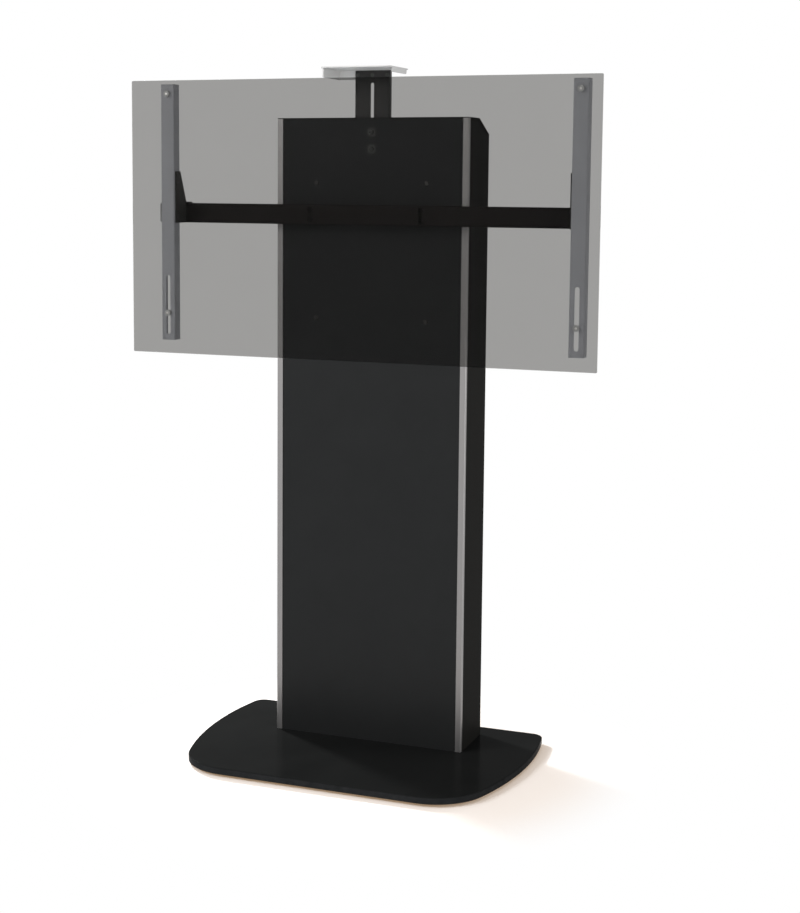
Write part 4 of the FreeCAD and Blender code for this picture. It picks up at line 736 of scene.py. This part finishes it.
set_like_pieces(socket_screw(head_radius, head_height, dome=0.003, stem_radius=0.003, stem_length=0.0085,
                             socket_radius=0.002),
                "screen_screw",
                grid(arm_middles, high.y - head_height, inner_ends(low.z, high.z, head_radius)),
                facing_back, zinc, "fastener_steel", "screen", "screen_screws")


# See-through panel: a clear smoked sheet with rounded corners and polished edges, in front of the arms.
# It lets light pass to what stands behind it, and shows it darkened.
smoked, tree, shader = new_material("smoked_sheet")
shader.inputs["IOR"].default_value = 1.11
shader.inputs["Transmission Weight"].default_value = 1.0
cast = group_node(tree, powder_coat, {
    "Place": tree.nodes.new("ShaderNodeTexCoord").outputs["Object"], "Tone": (0.335, 0.332, 0.325, 1.0),
    "Tone Change": 0.03, "Gloss Middle": 0.012, "Gloss Change": 0.015})
tree.links.new(cast["Color"], shader.inputs["Base Color"])
tree.links.new(cast["Roughness"], shader.inputs["Roughness"])
through = tree.nodes.new("ShaderNodeBsdfTransparent")
path = tree.nodes.new("ShaderNodeLightPath")
unseen = math_node(tree, "MAXIMUM", path.outputs["Is Shadow Ray"], path.outputs["Is Diffuse Ray"])
mirrored = math_node(tree, "SUBTRACT", path.outputs["Is Glossy Ray"], path.outputs["Is Transmission Ray"])
passing = math_node(tree, "MAXIMUM", unseen, mirrored)
surface = mixed_shader(tree, passing, shader.outputs[0], through.outputs[0])
tree.links.new(surface, tree.nodes["Material Output"].inputs["Surface"])
corner_round, edge_polish = 0.003, 0.0005
low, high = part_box("screen_panel")
bpy.ops.mesh.primitive_cube_add(size=1.0, location=(low + high) / 2.0, scale=high - low)
smoked_sheet = bpy.context.active_object
smoked_sheet.name = "smoked_sheet"
bpy.ops.object.transform_apply(location=True, rotation=True, scale=True)
round_off(smoked_sheet, running_along(smoked_sheet, "y"), corner_round, segments=6)
for face_y in (low.y, high.y):
    round_off(smoked_sheet, lying_at(smoked_sheet, "y", face_y), edge_polish, segments=2)
fix_place(smoked_sheet, smoked, "smoked_panel", "screen", "screen_panel")


# Camera post: a folded and slotted channel in satin black that slides between two guide bars. Two dark
# screws with wide washers clamp it from the front, into nuts behind the clamp rail.
post_coat = coated("post_satin_coat", (0.026, 0.025, 0.024), tone_change=0.3, peel_size=800.0, gloss=0.42,
                   specular=0.2, bump=0.2)
finish(post_coat, "camera_post", "post_guides")
finish(zinc, "clamp_nuts")
washer_coat = coated("clamp_washer_coat", (0.05, 0.052, 0.048), tone_change=0.3, peel_size=1200.0, gloss=0.4,
                     specular=0.2, bump=0.1)
finish(washer_coat, "clamp_washers")
head_radius, head_height = 0.007, 0.005
low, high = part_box("clamp_screws")
set_like_pieces(socket_screw(head_radius, head_height, dome=0.0035, stem_radius=0.004,
                             stem_length=high.y - low.y - head_height, socket_radius=0.003),
                "clamp_screw",
                grid([(low.x + high.x) / 2.0], low.y + head_height, inner_ends(low.z, high.z, head_radius)),
                facing_front, washer_coat, "fastener_steel", "stand", "clamp_screws")


# Camera shelf: thin sheet in light grey powder coat, bent down behind the post and at both sides, and held
# to the post by three small dark screws.
shelf_coat = coated("shelf_grey_coat", (0.61, 0.605, 0.595), tone_change=0.1, peel_size=900.0, gloss=0.5,
                    specular=0.3, bump=0.25)
finish(shelf_coat, "camera_shelf")
head_radius, head_height = 0.0045, 0.0025
low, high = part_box("shelf_screws")
set_like_pieces(socket_screw(head_radius, head_height, dome=0.0018, stem_radius=0.0025, stem_length=0.006,
                             socket_radius=0.0015),
                "shelf_screw",
                grid((low.x + head_radius, (low.x + high.x) / 2.0, high.x - head_radius), low.y + head_height,
                     [(low.z + high.z) / 2.0]),
                facing_front, washer_coat, "fastener_steel", "camera_mast", "shelf_screws")
